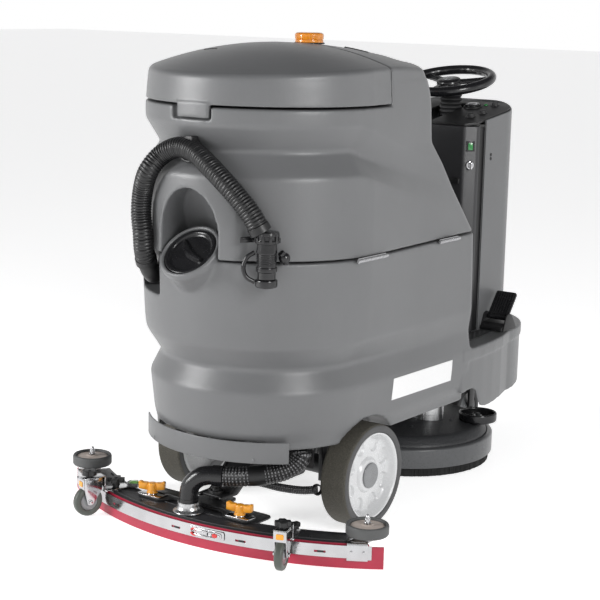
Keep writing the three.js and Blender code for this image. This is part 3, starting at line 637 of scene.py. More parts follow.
def wall_reader(table, blur):
    """Reads a wall table at any height, with its corners blurred over a few millimetres."""
    rows = np.array(table, float)

    def read(height, column):
        height = np.asarray(height, float)
        total = 0
        for offset in (-1, -0.5, 0, 0.5, 1):
            total = total + np.interp(height + offset * blur, rows[:, 0], rows[:, column])
        return total / 5
    return read


def wall_ring(read, z, drop):
    """One closed ring of the body at height z. drop(y) says how far a crease lies below its rear height."""
    side_steps, rear_steps, corner_steps = 26, 84, 8
    front = float(read(z, 2))
    half = float(read(z, 3))
    side_end = front + CORNER
    ring = []
    for k in range(rear_steps + 1):
        a = math.pi * k / rear_steps
        y_guess = BARREL_Y + 280 * math.sin(a)
        r = float(read(z + drop(y_guess), 1))
        ring.append((r * math.cos(a), BARREL_Y + r * math.sin(a), z))
    for side in (-1, 1):
        steps = range(1, side_steps + 1) if side < 0 else range(side_steps, 0, -1)
        run = []
        for k in steps:
            t = k / side_steps
            y = BARREL_Y + t * (side_end - BARREL_Y)
            r = float(read(z + drop(y), 1))
            run.append((side * (r + (half - r) * t), y, z))
        turn = []
        for k in range(1, corner_steps):
            a = math.pi / 2 * k / corner_steps
            turn.append((side * (half - CORNER + CORNER * math.cos(a)), side_end - CORNER * math.sin(a), z))
        if side < 0:
            ring += run + turn + [(-(half - CORNER), front, z)]
        else:
            ring += [(half - CORNER, front, z)] + list(reversed(turn)) + run
    return ring


def ring_loft(rings, tip=None):
    """Joins rings of equal length into a closed solid. A tip closes the last ring in a point."""
    count = len(rings[0])
    points = [p for ring in rings for p in ring]
    faces = grid(len(rings), count, False, True)
    faces.append(tuple(reversed(range(count))))
    if tip is None:
        faces.append(tuple(range(len(points) - count, len(points))))
    else:
        points.append(tip)
        last = len(points) - 1
        faces += [(last - count + k, last - count + (k + 1) % count, last) for k in range(count)]
    return points, faces


def arch_line(half, top):
    """A round-topped arch in the XZ plane."""
    foot, spring, steps = PARTING_Z - 20, PARTING_Z + 50, 24
    curve = [(half * math.cos(math.pi * k / steps), spring + (top - spring) * math.sin(math.pi * k / steps))
             for k in range(steps + 1)]
    return [(half, foot)] + curve + [(-half, foot)]


def lower_drop(y):
    """How far the lower tank's creases fall towards the front."""
    return 0.018 * (BARREL_Y - min(y, BARREL_Y))


def upper_drop(y):
    """How far the upper tank's creases fall towards the front."""
    return 0.28 * max(0.0, 100 - y)


def rod(axis, radius, start, stop, centre, sides=48):
    """A plain cylinder for carving or joining."""
    turned = bar(radius, start, stop, sides, axis)
    offset = {"X": (0, centre[0], centre[1]), "Y": (centre[0], 0, centre[1]),
              "Z": (centre[0], centre[1], 0)}[axis]
    return Part().add(turned, shift(*offset)).shape()


def filler_rod(radius, start, stop, end_radius=None):
    """A cylinder or cone on the axis of the filler's mouth."""
    end_radius = radius if end_radius is None else end_radius
    turned = lathe([(0, start), (radius, start), (end_radius, stop), (0, stop)], 72, closed=False)
    return Part().add(turned, FILLER_PLACE).shape()


def platform_line(inset):
    """Outline of the rider's platform seen from above."""
    half, steps = 236 - inset, 40
    nose = [(half * math.cos(math.pi + math.pi * k / steps),
             -690 + (245 - inset) * math.sin(math.pi + math.pi * k / steps)) for k in range(steps + 1)]
    side = [(272.5, -392), (273, -440), (270.5, -500), (265, -560), (256, -620)]
    left = [(x - inset, y) for x, y in side]
    return [left[0]] + [(-x, y) for x, y in left] + nose + left[:0:-1]


def base_shell():
    """Clean water tank, battery bay, wheel arches and platform in one moulding."""
    read = wall_reader(LOWER_WALL, 5)
    heights = np.linspace(212, 634, 86)
    work = solid_object(ring_loft([wall_ring(read, z, lower_drop) for z in heights]))
    legs = solid_object(prism(platform_line(0), 152, 345))
    side = [(-1000, 400), (-380, 400), (-380, 236), (-450, 240), (-468, 230), (-482, 200), (-498, 186),
            (-526, 179),
            (-700, 182), (-1000, 192)]
    carve(legs, prism(side, -300, 300, "YZ"), operation="INTERSECT")
    carve(legs, Part().add(prism(platform_line(9), 100, 336)).shape())
    reveal = carve(solid_object(prism(platform_line(-20), 100, 317)), prism(platform_line(3.5), 90, 330))
    combine(legs, reveal, "DIFFERENCE")
    combine(work, legs, "UNION")
    boss = carve(solid_object(filler_rod(58, -150, -2, 70)), block(-110, 110, -20, 236, PARTING_Z - 2, 900))
    combine(work, boss, "UNION")
    tools = [
        block(-165, 165, -460, 152, 100, 330), block(-226, 226, -412, 112, 341, 700),
        block(98, 204, 206, 420, 538, 700), filler_rod(61.5, -14, 30), filler_rod(50, -90, 20),
        rod("Z", 20, 300, 400, (0, SHAFT_Y)), block(-92, 92, -1000, -900, 100, 300),
        block(-150, 150, 160, 330, 100, 232),
    ]
    for sign in (-1, 1):
        near, far = (190, 330) if sign > 0 else (-330, -190)
        tools.append(rod("X", 138, near, far, (0, 120), 96))
    carve(work, *tools)
    mesh = soften(work, 3.4, 7)
    shell_piece(mesh, "base_shell", SHELL, "chassis", ["lower_tank"])


def crown_height(x, y):
    """Height of the domed top."""
    along = 7e-4 if y > DOME_Y else 2.6e-4
    return CROWN_Z - 6.6e-4 * x * x - along * (y - DOME_Y) ** 2


def raised_band(x, y, z):
    """Height of the arch-shaped band that frames the filler recess."""
    if y < BARREL_Y:
        return 0.0

    def inside(half, top, soft):
        spring = PARTING_Z + 60
        rise = max(0.0, z - spring) / (top - spring)
        reach = math.hypot(x / half, rise)
        return 1 - float(smooth_step(reach, 1 - soft, 1 + soft))
    return 9.0 * inside(126, 836, 0.05)


def upper_rings(read, heights):
    """Rings of the dirty water tank, with the band round the filler recess raised."""
    rings = []
    for z in heights:
        ring = wall_ring(read, z, upper_drop)
        out = []
        for x, y, h in ring:
            lift = raised_band(x, y, h)
            if lift:
                y += Vector((x, y - BARREL_Y)).normalized().y * lift
            out.append((x, y, h))
        rings.append(out)
    return rings


def crown_rings(read):
    """Rings that close the dirty water tank's top in a dome."""
    edge = wall_ring(read, 1024, upper_drop)
    rings = [[(x, y, crown_height(x, y) - 7) for x, y, _ in edge]]
    inner = [(0.992, 3.0), (0.98, 0.9), (0.96, 0.2), (0.9, 0)] + [(s, 0) for s in np.linspace(0.84, 0.06, 22)]
    for scale, below in inner:
        ring = []
        for x, y, _ in edge:
            px, py = scale * x, DOME_Y + scale * (y - DOME_Y)
            ring.append((px, py, crown_height(px, py) - below))
        rings.append(ring)
    return rings


def full_upper(start):
    """The dirty water tank and lid as one solid, from the height start upwards."""
    read = wall_reader(UPPER_WALL, 5)
    heights = np.linspace(start, 1016, 92)
    rings = upper_rings(read, heights)
    top_edge = crown_rings(read)
    top = []
    for ring_point, edge_point in zip(rings[-1], top_edge[0]):
        top.append(tuple((a + b) / 2 for a, b in zip(ring_point, edge_point)))
    return ring_loft(rings + [top] + top_edge, (0, DOME_Y, CROWN_Z))


def recovery_shell():
    """Dirty water tank with its fan hood, seat well and filler recess."""
    work = solid_object(full_upper(638))
    slope = [(222, 626), (238, 660), (262, 715), (300, 780), (330, 800), (500, 800), (500, 600), (214, 600)]
    scoop = carve(solid_object(prism(arch_line(78, 786), 150, 440, "XZ")), prism(slope, -120, 120, "YZ"),
                  operation="INTERSECT")
    combine(work, scoop, "DIFFERENCE")
    well = prism(rounded([(208, -560), (208, -150), (-208, -150), (-208, -560)], 30, 6), 656, 1300)
    water = prism(rounded([(225, -12), (200, 110), (110, 190), (-110, 190), (-200, 110), (-225, -12)], 30,
                          4), 652, 1000)
    carve(work, well, block(-400, 400, LID_FRONT - 3, 440, LID_Z - 4, 1200), water,
          block(-252, 252, -140, -34, 652, 1040), rod("Z", 37, 1083, 1120, (0, -89)),
          prism(arc(0, 55, 300, 78.2, 100, 16) + arc(0, 55, 269, 100, 78.2, 16), 932, 980))
    mesh = soften(work, 3.2, 6)
    shell_piece(mesh, "recovery_tank_shell", SHELL, "recovery_tank", ["upper_tank"])


def lid_shell():
    """Hollow lid with its grip tab."""
    work = solid_object(full_upper(900))
    inner = [(0.972 * x, BARREL_Y + 0.972 * (y - BARREL_Y), z - 7) for x, y, z in full_upper(900)[0]]
    region = block(-400, 400, LID_FRONT + 1, 440, LID_Z + 1, 1200)
    carve(work, region, operation="INTERSECT")
    hollow = solid_object((inner, full_upper(900)[1]))
    carve(hollow, block(-400, 400, LID_FRONT + 9, 440, 900, 1200), operation="INTERSECT")
    combine(work, hollow, "DIFFERENCE")
    grip = prism(arc(0, 55, 282.6, 81.5, 99, 16) + arc(0, 55, 270, 99, 81.5, 16), 936, 968)
    combine(work, solid_object(grip), "UNION")
    mesh = soften(work, 2.6, 3)
    shell_piece(mesh, "tank_lid_shell", SHELL, "tank_lid", ["lid"])


# ------------------------------------------------------------------ wheels
def rear_wheel(label, side):
    """Tyre, lobed rim and hub cap of one drive wheel."""
    body = label + "_wheel"
    place = shift(side * WHEEL_X, 0, WHEEL_Z) @ (Matrix.Identity(4) if side > 0 else rot("Z", 180))
    tyre = rounded([(100.8, -31), (104, -34.2), (113, -34.8), (117, -33.8), (119.9, -29), (119.9, 29),
                    (117, 33.8),
                    (113, 34.8), (104, 34.2), (100.8, 31)], 3)
    part = Part()
    points, faces = lathe(tyre, 144, "X")
    part.add((points, faces), place)
    part.paints = [0 if min(math.hypot(points[i][1], points[i][2]) for i in f) > 117 else 1 for f in faces]
    part.make(label + "_tyre_look", [TREAD, SIDEWALL], body, [label + "_tyre"], slot="tyre_rubber")

    radii = [12.6, 31, 33, 34.5, 37] + list(np.linspace(40, 84, 23)) + [86, 88, 90, 92, 94, 96.5, 98.5, 100.2]
    sides = 240
    points = []
    for r in radii:
        for k in range(sides):
            a = 2 * math.pi * k / sides
            face = np.interp(r, [12, 31, 36, 42, 84, 89, 93, 96, 98, 100.2],
                             [22, 22, 21, 14, 11, 15, 24, 31, 32.5, 32.5])
            lobe = (a / (2 * math.pi) * 8) % 1 - 0.5
            reach = math.hypot((r - 80) / 26, lobe * 2 * math.pi * r / 8 / 19)
            face -= 5.5 * float(1 - smooth_step(reach, 0.84, 1.0)) if r < 88 else 0
            points.append((float(face), r * math.cos(a), r * math.sin(a)))
    faces = grid(len(radii), sides, False, True)
    start = len(points)
    back = [(100.2, -31), (92, -31), (88, -6), (38, -6), (34, -29), (12.6, -29)]
    for r, x in back:
        for k in range(sides):
            a = 2 * math.pi * k / sides
            points.append((x, r * math.cos(a), r * math.sin(a)))
    rings = [start - sides] + [start + i * sides for i in range(len(back))] + [0]
    for low, high in zip(rings, rings[1:]):
        faces += [(low + k, low + (k + 1) % sides, high + (k + 1) % sides, high + k) for k in range(sides)]
    Part().add((points, faces), place).make(label + "_rim_look", WHITE, body, [label + "_rim"], angle=40)
    cap = rounded([(0, 26.8), (28, 26.8), (30, 25.2), (30, 22.2), (0, 22.2)], 1.2)
    Part().add(lathe(cap, 72, "X"), place).make(label + "_hub_cap", GREY_CAP, body, slot="dark_plastic")


def front_wheel():
    """Small steered wheel under the platform."""
    place = shift(0, FRONT_WHEEL_Y, FRONT_WHEEL_Z)
    tyre = rounded([(44.2, -22.5), (58, -22.8), (61.8, -18), (61.8, 18), (58, 22.8), (44.2, 22.5)], 3)
    Part().add(lathe(tyre, 96, "X"), place).make("front_tyre_look", RUBBER, "front_wheel", ["front_tyre"])
    hub = rounded([(8.6, -24.5), (15, -24.5), (18, -19), (40, -15), (43.4, -20), (43.4, 20), (40, 15),
                   (18, 19),
                   (15, 24.5), (8.6, 24.5)], 1.5)
    Part().add(lathe(hub, 72, "X"), place).make("front_hub_look", GREY_CAP, "front_wheel", ["front_hub"])


# ------------------------------------------------------------------ brush deck
def brush_deck():
    """Round deck with its skirt, motor, guard roller and brush."""
    centre = shift(0, DECK_Y, 0)
    ring = rounded([(229.5, 24), (235.8, 24), (235.8, 71), (233, 74), (226, 75.5), (221, 74), (221, 69),
                    (229.5, 66)], 1.6)
    part = Part().add(lathe(ring, 160), centre)
    part.make("deck_skirt", DECK_RING, "deck", slot="dark_plastic")
    dome = [(19.5, 108), (60, 107), (116, 99), (186, 84), (214, 68), (220.4, 68), (220.4, 75), (219, 79),
            (215, 84),
            (209, 91), (203, 96.5), (196, 99.5), (150, 104), (118, 108), (104, 111), (60, 113.5), (28, 115),
            (26, 126),
            (19.5, 127)]
    part = Part().add(lathe(rounded(dome, 3), 160), centre)
    arm = rounded([(-192, -654), (-166, -654), (-138, -588), (-92, -620), (-84, -586), (-132, -548),
                   (-152, -572)], 6)
    part.add(prism(arm, 94, 100))
    part.add(lathe(rounded([(0, 94), (6, 94), (6, 121), (4.5, 122), (0, 122)], 0.8), 32),
             shift(*DECK_ROLLER, 0))
    for k in range(6):
        a = math.pi * k / 3 + 0.2
        part.add(bolt_head(4.5, 4), shift(132 * math.cos(a), DECK_Y + 132 * math.sin(a), 104))
    part.make("deck_dome", DECK, "deck", ["brush_deck"])
    motor = [(0, 108), (42.5, 108), (42.5, 124), (41.6, 124.6), (41.6, 150), (42.5, 150.6), (42.5, 158),
             (41.6, 158.6),
             (41.6, 196), (42.5, 196.6), (42.5, 236), (0, 236)]
    part = Part().add(lathe(motor, 96), shift(MOTOR_X, DECK_Y, 0))
    part.make("brush_motor_look", ALUMINIUM, "deck", ["brush_motor"])
    part = Part()
    for k in range(4):
        a = math.radians(20 + 90 * k)
        part.add(prism(arc(0, 0, 2.2, 0, 330, 11), 112, 232),
                 shift(MOTOR_X + 42.5 * math.cos(a), DECK_Y + 42.5 * math.sin(a), 0))
    part.make("motor_tie_rods", CHROME, "deck", slot="stainless")
    cup = rounded([(6.6, 101.3), (43, 101.3), (48.5, 103.5), (49.6, 108), (49.6, 122), (48.6, 124.8),
                   (45.5, 125.6),
                   (44, 122), (43, 107.5), (12.5, 107.5), (12, 116), (6.6, 116)], 1.0)
    Part().add(lathe(cup, 96), shift(*DECK_ROLLER, 0)).make("deck_roller_look", SATIN_BLACK, "roller",
                                                            ["deck_roller"])

    rng = np.random.default_rng(7)
    ragged = rng.uniform(-1.3, 0.9, 720)

    def uneven(angle, radius, height):
        k = int(round(angle / (2 * math.pi) * 720)) % 720
        return radius + (ragged[k] * 1.3 if radius > 200 and height < 34 else 0)
    pack = [(0, 118), (16.5, 118), (17, 66), (60, 58), (215, 57), (225, 48), (226, 34), (226.5, 22),
            (227, 12), (226, 1.0),
            (214, 0.7), (122, 0.7), (112, 38), (0, 38)]
    part = Part().add(lathe(pack, 720, wobble=uneven, closed=False), centre)
    part.make("brush_look", BRISTLE, "brush", ["brush_disc"], angle=60)


# ------------------------------------------------------------------ hoses and drain fittings
DRAIN = [(136, 322, 612), (128, 339, 640), (126, 345, 675), (134, 342, 720), (129, 342, 770), (105, 351, 815),
         (82, 335, 850), (40, 331, 869), (-7, 336, 865), (-58, 347, 840), (-104, 350, 808), (-135, 340, 775),
         (-160, 329, 742), (-174, 319, 712)]
ELBOW = [(132, 331, 622), (137, 320, 609), (140, 302, 584), (146, 279, 573), (151, 255, 584),
         (152, 245, 608), (152, 245, 637)]


def drain_line():
    """Drain hose with its elbow, nozzle, cap, strap and clip."""
    part = Part().add(sweep(DRAIN, 22.8, 40, 0.9, rib_rings(6.6, 2.1)))
    part.add(sweep(ELBOW, 20.5, 32, 3.0))
    for index, route in enumerate((DRAIN[:2], DRAIN[-2:])):
        ends = [Vector(p) for p in route]
        ahead = (ends[1] - ends[0]).normalized()
        start = ends[0] - ahead * 6 if index == 0 else ends[1] - ahead * 8
        part.add(sweep([start, start + ahead * 8, start + ahead * 15], 24.3, 40, 2.0))
    part.make("drain_hose_look", HOSE, "recovery_tank", ["drain_hose"], slot="black_rubber", angle=50)

    part = Part()
    centre = shift(-187, 309, 0)
    body = [(0, 607.8), (19.5, 607.8), (19.5, 622), (22.5, 624), (22.5, 632), (20.9, 634), (20.9, 662),
            (22.5, 664),
            (20.5, 682), (25.2, 684), (25.2, 690), (23.4, 691), (23.4, 699), (25.2, 700), (25.2, 708),
            (0, 708)]
    part.add(lathe(rounded(body, 0.8, closed=False), 56, closed=False), centre)
    for k in range(10):
        a = 2 * math.pi * k / 10
        part.add(prism(rounded_box(-3, 3, -1.5, 1.5, 0.6), 685, 706),
                 centre @ shift(24.6 * math.cos(a), 24.6 * math.sin(a), 0) @ rot("Z", math.degrees(a) + 90))
    for z in np.arange(640, 660, 4.5):
        part.add(lathe([(20, z), (22, z + 1), (22, z + 2.2), (20, z + 3.2)], 56), centre)
    part.add(prism(rounded([(-146, 337), (-139, 341), (-141, 312), (-160, 287), (-204, 283), (-207, 296),
                            (-172, 300),
                            (-155, 318)], 2), 683, 694))
    part.add(prism(rounded([(-160, 271), (-150, 262), (-146, 296), (-160, 300)], 2), 682, 700))
    part.add(sweep([(-211, 292, 664), (-214, 285, 656), (-215, 280, 648), (-213, 277, 640)], 7.5, 16, 1.5))
    ball = [(12.5 * math.sin(math.pi * k / 12), 652 - 12.5 * math.cos(math.pi * k / 12)) for k in range(13)]
    part.add(lathe(ball, 28, closed=False), shift(-214, 283, 0))
    part.make("drain_nozzle_look", SATIN_BLACK, "recovery_tank", ["drain_nozzle"], bevel=0.6)
    cap = [(0, 590), (21.5, 590), (23.5, 592), (23.8, 604), (22.8, 606.5), (0, 606.8)]
    part = Part().add(lathe(rounded(cap, 1.2, closed=False), 64, closed=False,
                            wobble=lambda a, r, z: r - (0.5 if r > 22 and math.cos(a * 32) > 0.2 else 0)),
                      centre)
    part.add(lathe([(0, 588.6), (4, 588.8), (5, 590.5), (0, 590.5)], 24, closed=False), centre)
    part.make("drain_cap_look", SATIN_BLACK, "drain_plug", ["drain_cap"])
    strap = [(-166, 322, 600), (-153, 334, 611), (-148, 338, 631), (-153, 333, 652), (-166, 324, 664)]
    Part().add(sweep(strap, 4.8, 14, 2.0)).make("drain_cap_strap", SATIN_BLACK, "recovery_tank",
                                                slot="black_plastic")
    clip = Part()
    clip.add(prism(rounded([(-4, 868), (22, 862), (24, 882), (10, 893), (-6, 891)], 2), 300, 328, "XZ"))
    clip.add(prism(rounded_box(-6, 12, 884, 896, 2), 303, 340, "XZ"))
    loop = [(8 + 25.2 * math.cos(math.pi * 2 * k / 36), 335, 867 + 25.2 * math.sin(math.pi * 2 * k / 36))
            for k in range(37)]
    clip.add(sweep(loop, 3.2, 12, 2.0))
    clip.make("hose_clip", BLACK, "recovery_tank", slot="black_plastic", bevel=0.8)


def filler_cap():
    """Screw cap with a curved grip, and the raised ring round its mouth."""
    ring = rounded([(62, -12), (62.2, 1), (64.2, 4.6), (68.4, 4.8), (72, 1), (73, -12)], 2.2)
    Part().add(lathe(ring, 120), FILLER_PLACE).make("filler_ring", SHELL, "chassis", slot="grey_shell")
    rim = [(0, -11), (57, -11), (60.6, -9), (60.8, 0.5), (59.5, 2.6), (56, 3.0), (52, 2.2), (49, -1.8),
           (46, -3.4), (0, -3.6)]
    part = Part().add(lathe(rounded(rim, 1.6, closed=False), 96, closed=False), FILLER_PLACE)
    part.add(lathe([(0, -26), (43, -26), (44, -24), (44, -10), (0, -10)], 72, closed=False), FILLER_PLACE)
    rows = []
    for k in range(29):
        along = -42 + 84 * k / 28
        width = 7.5 * math.sqrt(max(0.0, 1 - (along / 43) ** 2)) + 0.6
        height = 9.5 * math.sqrt(max(0.0, 1 - (along / 44) ** 2)) + 0.5
        bow = 10 * (1 - (along / 42) ** 2) - 5
        rows.append([(along, bow - width - 6, -4), (along, bow - width * 0.9, 4 + height * 0.5 - 3),
                     (along, bow - 2, height),
                     (along, bow + 2, height - 0.5), (along, bow + width * 0.6, 1), (along, bow + width, -4)])
    points = [p for row in rows for p in row]
    faces = grid(len(rows), 6)
    faces.append(tuple(range(6)))
    faces.append(tuple(reversed(range(len(points) - 6, len(points)))))
    faces += [(r * 6, (r + 1) * 6, (r + 1) * 6 + 5, r * 6 + 5) for r in range(len(rows) - 1)]
    part.add((points, faces), FILLER_PLACE @ rot("Z", -32))
    part.make("filler_cap_look", SATIN_BLACK, "filler_plug", ["filler_cap"], angle=45)


CUFF = [(-137, 232, 150.5), (-123, 242.5, 148), (-109, 252, 147)]


def crested(route, radius=22.4, pitch=7.4, depth=2.4, sides=40):
    """A spiral hose with a lighter reinforcing thread along its crests."""
    shape = sweep(route, radius, sides, 0.9, rib_spiral(pitch, depth))
    part = Part().add(shape)
    run = curve_points(route, 0.9)[1]
    step = run[1] - run[0]
    for index in range(len(part.faces) - 2):
        distance, angle = (index // sides + 0.5) * step, 2 * math.pi * (index % sides) / sides
        crest = abs(math.sin(math.pi * distance / pitch - angle / 2)) > 0.86
        part.paints[index] = 1 if crest and index % 2 else 0
    return part


def suction_line():
    """The two flexible hoses, cuff and elbow between the tank and the squeegee."""
    upper = [(-186, 166, 197), (-188, 170, 186), (-178, 186, 168), (-160, 208, 156), (-132, 235, 150)]
    lower = [(-112, 250, 147), (-95, 262, 145), (-80, 270, 143.7), (-60, 279, 143.2)]
    part = crested(upper)
    piece = part.make("suction_hose_front", [HOSE, HOSE_CREST], None, ["suction_hose_upper"],
                      slot="black_rubber", angle=50)
    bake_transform(piece)
    part = crested(lower)
    piece = part.make("suction_hose_rear", [HOSE, HOSE_CREST], None, ["suction_hose_lower"],
                      slot="black_rubber", angle=50)
    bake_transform(piece)
    Part().add(sweep(CUFF, 22.6, 40, 2.0)).make("suction_cuff", HOSE, "arm", slot="black_rubber")
    bend = [(16, 312, 58.5), (16, 312, 88), (11, 310, 116), (-8, 302, 136), (-30, 292, 142.5),
            (-56, 281, 143)]
    part = Part().add(sweep(bend, 21.2, 48, 1.5))
    part.add(sweep([(-36, 289.5, 142.8), (-46, 285.3, 143), (-58, 280, 143)], 23.2, 48, 1.5))
    part.add(sweep([(16, 312, 76), (16, 312, 80), (16, 312, 86)], 22.2, 48, 1.5))
    part.make("suction_elbow_look", SATIN_BLACK, "squeegee", ["suction_elbow"], angle=40)
    flare = rounded([(21.5, 56), (35.5, 56), (34.5, 58), (27.5, 62), (25, 68), (24.6, 78), (21.5, 78)], 1.2)
    Part().add(lathe(flare, 72), shift(16, 312, 0)).make("elbow_collar", ALUMINIUM, "squeegee",
                                                         slot="stainless")


# ------------------------------------------------------------------ squeegee
ARC_Y = -385


def sector(inner, outer, start, stop, low, high, steps=96):
    """A curved bar about the squeegee's centre, angles in degrees from straight back."""
    ring = arc(0, ARC_Y, outer, 90 - stop, 90 - start, steps)
    ring += arc(0, ARC_Y, inner, 90 - start, 90 - stop, steps)
    return prism(ring, low, high)


SLOT_ANGLES = [-32.0, -26.0, -12.4, 0.4, 16.2, 24.6]


def band_with_slots():
    """The clamping band with its slots; squeegee_head adds the ends bent round."""
    slots = SLOT_ANGLES
    half = 33.8
    angles = sorted(set(list(np.linspace(-half, half, 181)) + [s + d for s in slots for d in (-0.95, 0.95)]))
    heights = [23, 32.4, 37.0, 50.8]
    part = Part()
    count = len(angles)
    points = []
    for radius in (751.35, 753.25):
        for z in heights:
            for a in angles:
                t = math.radians(90 - a)
                points.append((radius * math.cos(t), ARC_Y + radius * math.sin(t), z))
    layer = count * len(heights)

    def open_cell(i, j):
        middle = (angles[i] + angles[i + 1]) / 2
        return j == 1 and any(abs(middle - s) < 0.95 for s in slots)
    faces = []
    for j in range(len(heights) - 1):
        for i in range(count - 1):
            if open_cell(i, j):
                continue
            a, b = j * count + i, (j + 1) * count + i
            faces.append((a, a + 1, b + 1, b))
            faces.append((layer + a, layer + b, layer + b + 1, layer + a + 1))
            for edge, (p, q) in (((i, j - 1), (a, a + 1)), ((i, j + 1), (b, b + 1)),
                                 ((i - 1, j), (a, b)), ((i + 1, j), (a + 1, b + 1))):
                outside = not (0 <= edge[0] < count - 1 and 0 <= edge[1] < len(heights) - 1)
                if outside or open_cell(*edge):
                    faces.append((p, q, layer + q, layer + p))
    part.add((points, faces))
    return part


def on_arc(radius, angle, z=0.0):
    """Places a shape drawn with +Y outwards at a point of the arc."""
    t = math.radians(90 - angle)
    return shift(radius * math.cos(t), ARC_Y + radius * math.sin(t), z) @ rot("Z", -angle)


def knob_star(radius, height, arms=4, waist=0.55, thick=4.0):
    """A handle with blunt arms on a round boss."""
    outline = []
    for k in range(arms):
        base = 2 * math.pi * k / arms
        for offset, reach in ((-0.5 * math.pi / arms, radius), (0.5 * math.pi / arms, radius),
                              (math.pi / arms, radius * waist)):
            outline.append((reach * math.cos(base + offset), reach * math.sin(base + offset)))
    part = Part()
    part.add(prism(rounded(outline, radius * 0.2, 4), height - thick * 2, height))
    part.add(lathe([(0, 0), (radius * 0.46, 0), (radius * 0.4, height - thick), (0, height - thick)], 32,
                   closed=False))
    part.add(lathe([(0, height), (radius * 0.2, height), (radius * 0.18, height + 1.2), (0, height + 1.5)],
                   24, closed=False))
    return part.shape()


def squeegee_head():
    """Plate, blade, clamping band and fittings of the squeegee."""
    band = band_with_slots()
    for side in (-1, 1):
        band.add(sector(753.4, 754.6, side * 32.6 if side > 0 else -34.4, 34.4 if side > 0 else -32.6, 21,
                        52, 8))
    band.make("squeegee_band_look", STAINLESS, "squeegee", ["squeegee_band"], bevel=0.25, steps=1,
              slot="stainless")
    part = Part()
    for side in (-1, 1):
        near, far = (30.4, 33.8) if side > 0 else (-33.8, -30.4)
        part.add(sector(754.8, 757.2, near, far, 19, 57, 12))
        part.add(sector(722, 757.2, near, far, 54.8, 57.4, 12))
        for angle in (near + 0.7, far - 0.7):
            part.add(bolt_head(3.2, 3), on_arc(757.2, angle, 38) @ rot("X", -90))
        part.add(prism(rounded_box(-14, 14, -12, 14, 5), 54.8, 60),
                 shift(side * WALL_ROLLER_X, WALL_ROLLER_Y, 0))
        tongue = rounded([(side * 379, 205), (side * 411, 205), (side * 409, 238), (side * 391, 254),
                          (side * 377, 250)], 3)
        part.add(prism(tongue, 54.8, 58))
        part.add(bar(5.8, 58, 104, 24), shift(side * WALL_ROLLER_X, WALL_ROLLER_Y, 0))
        part.add(bolt_head(6.2, 5.5), shift(side * WALL_ROLLER_X, WALL_ROLLER_Y, 93.4))
        tip = [(4.6 * math.cos(math.pi / 2 * k / 6), 104 + 8 * math.sin(math.pi / 2 * k / 6))
               for k in range(7)]
        part.add(lathe([(0, 102), (4.6, 102)] + tip, 20, closed=False),
                 shift(side * WALL_ROLLER_X, WALL_ROLLER_Y, 0))
    part.make("band_end_brackets", BRIGHT, "squeegee", bevel=0.5, slot="stainless")

    part = Part().add(sector(747.1, 750.9, -36.4, 36.4, 0.0, 49.2, 160))
    part.make("squeegee_blade_look", BLADE_RED, "squeegee", ["squeegee_blade"], bevel=0.5, steps=1)
    part = Part().add(sector(745.2, 746.8, -34, 34, 49, 53.6, 160))
    part.make("blade_top_edge", BLADE_RED, "squeegee", slot="red_rubber")

    part = Part().add(sector(678, 744.8, -33.4, 33.4, 50.4, 54.0, 96))
    # The forward tab under the yoke is partly a support plate and partly painted shade: its dark sheet also
    # stands in for the floor's shadow under the machine.
    part.add(prism(rounded_box(-150, 190, 214, 300, 20), 50.2, 53.9))
    part.add(sector(741.8, 744.6, -33.4, 33.4, 20, 50.4, 96))
    part.add(sector(678, 680.5, -32.5, 32.5, 14, 50.4, 96))
    for radius, low, high in ((735, 54.0, 57.5), (684, 54.0, 56.2)):
        part.add(sector(radius, radius + 3.2, -30, 30, low - 0.2, high, 90))
    for angle in (-24, -17, 12, 19, 26):
        part.add(bolt_head(3.4, 3.2), on_arc(722, angle, 54))
    part.make("squeegee_plate_look", SHELL_DARK, "squeegee", ["squeegee_plate"], bevel=0.6)

    yoke = rounded([(-20, 181), (54, 181), (60, 240), (176, 262), (176, 304), (108, 304), (84, 275.5),
                    (-52, 275.5),
                    (-74, 302), (-140, 302), (-140, 262), (-30, 240)], 9, 5)
    part = Part().add(prism(yoke, 55, 60.5))
    part.add(prism(rounded_box(-130, 166, 268, 273, 2), 60, 64.8))
    part.add(bar(9.2, 60, 84, 32), shift(17, 212, 0))
    part.add(bolt_head(9, 8), shift(17, 212, 84))
    part.make("squeegee_yoke_look", BLACK_STEEL, "squeegee", ["squeegee_yoke"], bevel=0.7)
    part = Part()
    for x, y in ((144, 288), (-107, 283)):
        part.add(prism(rounded_box(x - 34, x + 32, y - 17, y + 17, 6), 60.7, 63.2))
        part.add(lathe([(0, 63), (12, 63), (11, 65.2), (0, 65.2)], 32, closed=False), shift(x, y, 0))
    part.make("yoke_clamp_plates", CHROME, "squeegee", bevel=0.5, slot="stainless")
    for label, x, y, angle in (("left", 144, 288, 28), ("right", -107, 283, 12)):
        wing_knob(label, x, y, angle)

    part = Part().add(lathe([(0, 56), (17, 56), (18, 60), (18, 64.5), (15.5, 65.5), (15, 64), (0, 64)], 48,
                            closed=False),
                      shift(229, 253, 0))
    part.make("level_case", SILVER, "squeegee", slot="stainless")
    part = Part().add(lathe([(0, 64.2), (14, 64.2), (9, 67.2), (0, 68)], 40, closed=False),
                      shift(229, 253, 0))
    part.make("level_window", LEVEL_GREEN, "squeegee", slot="green_lens")
    latch()
    slot_pins()


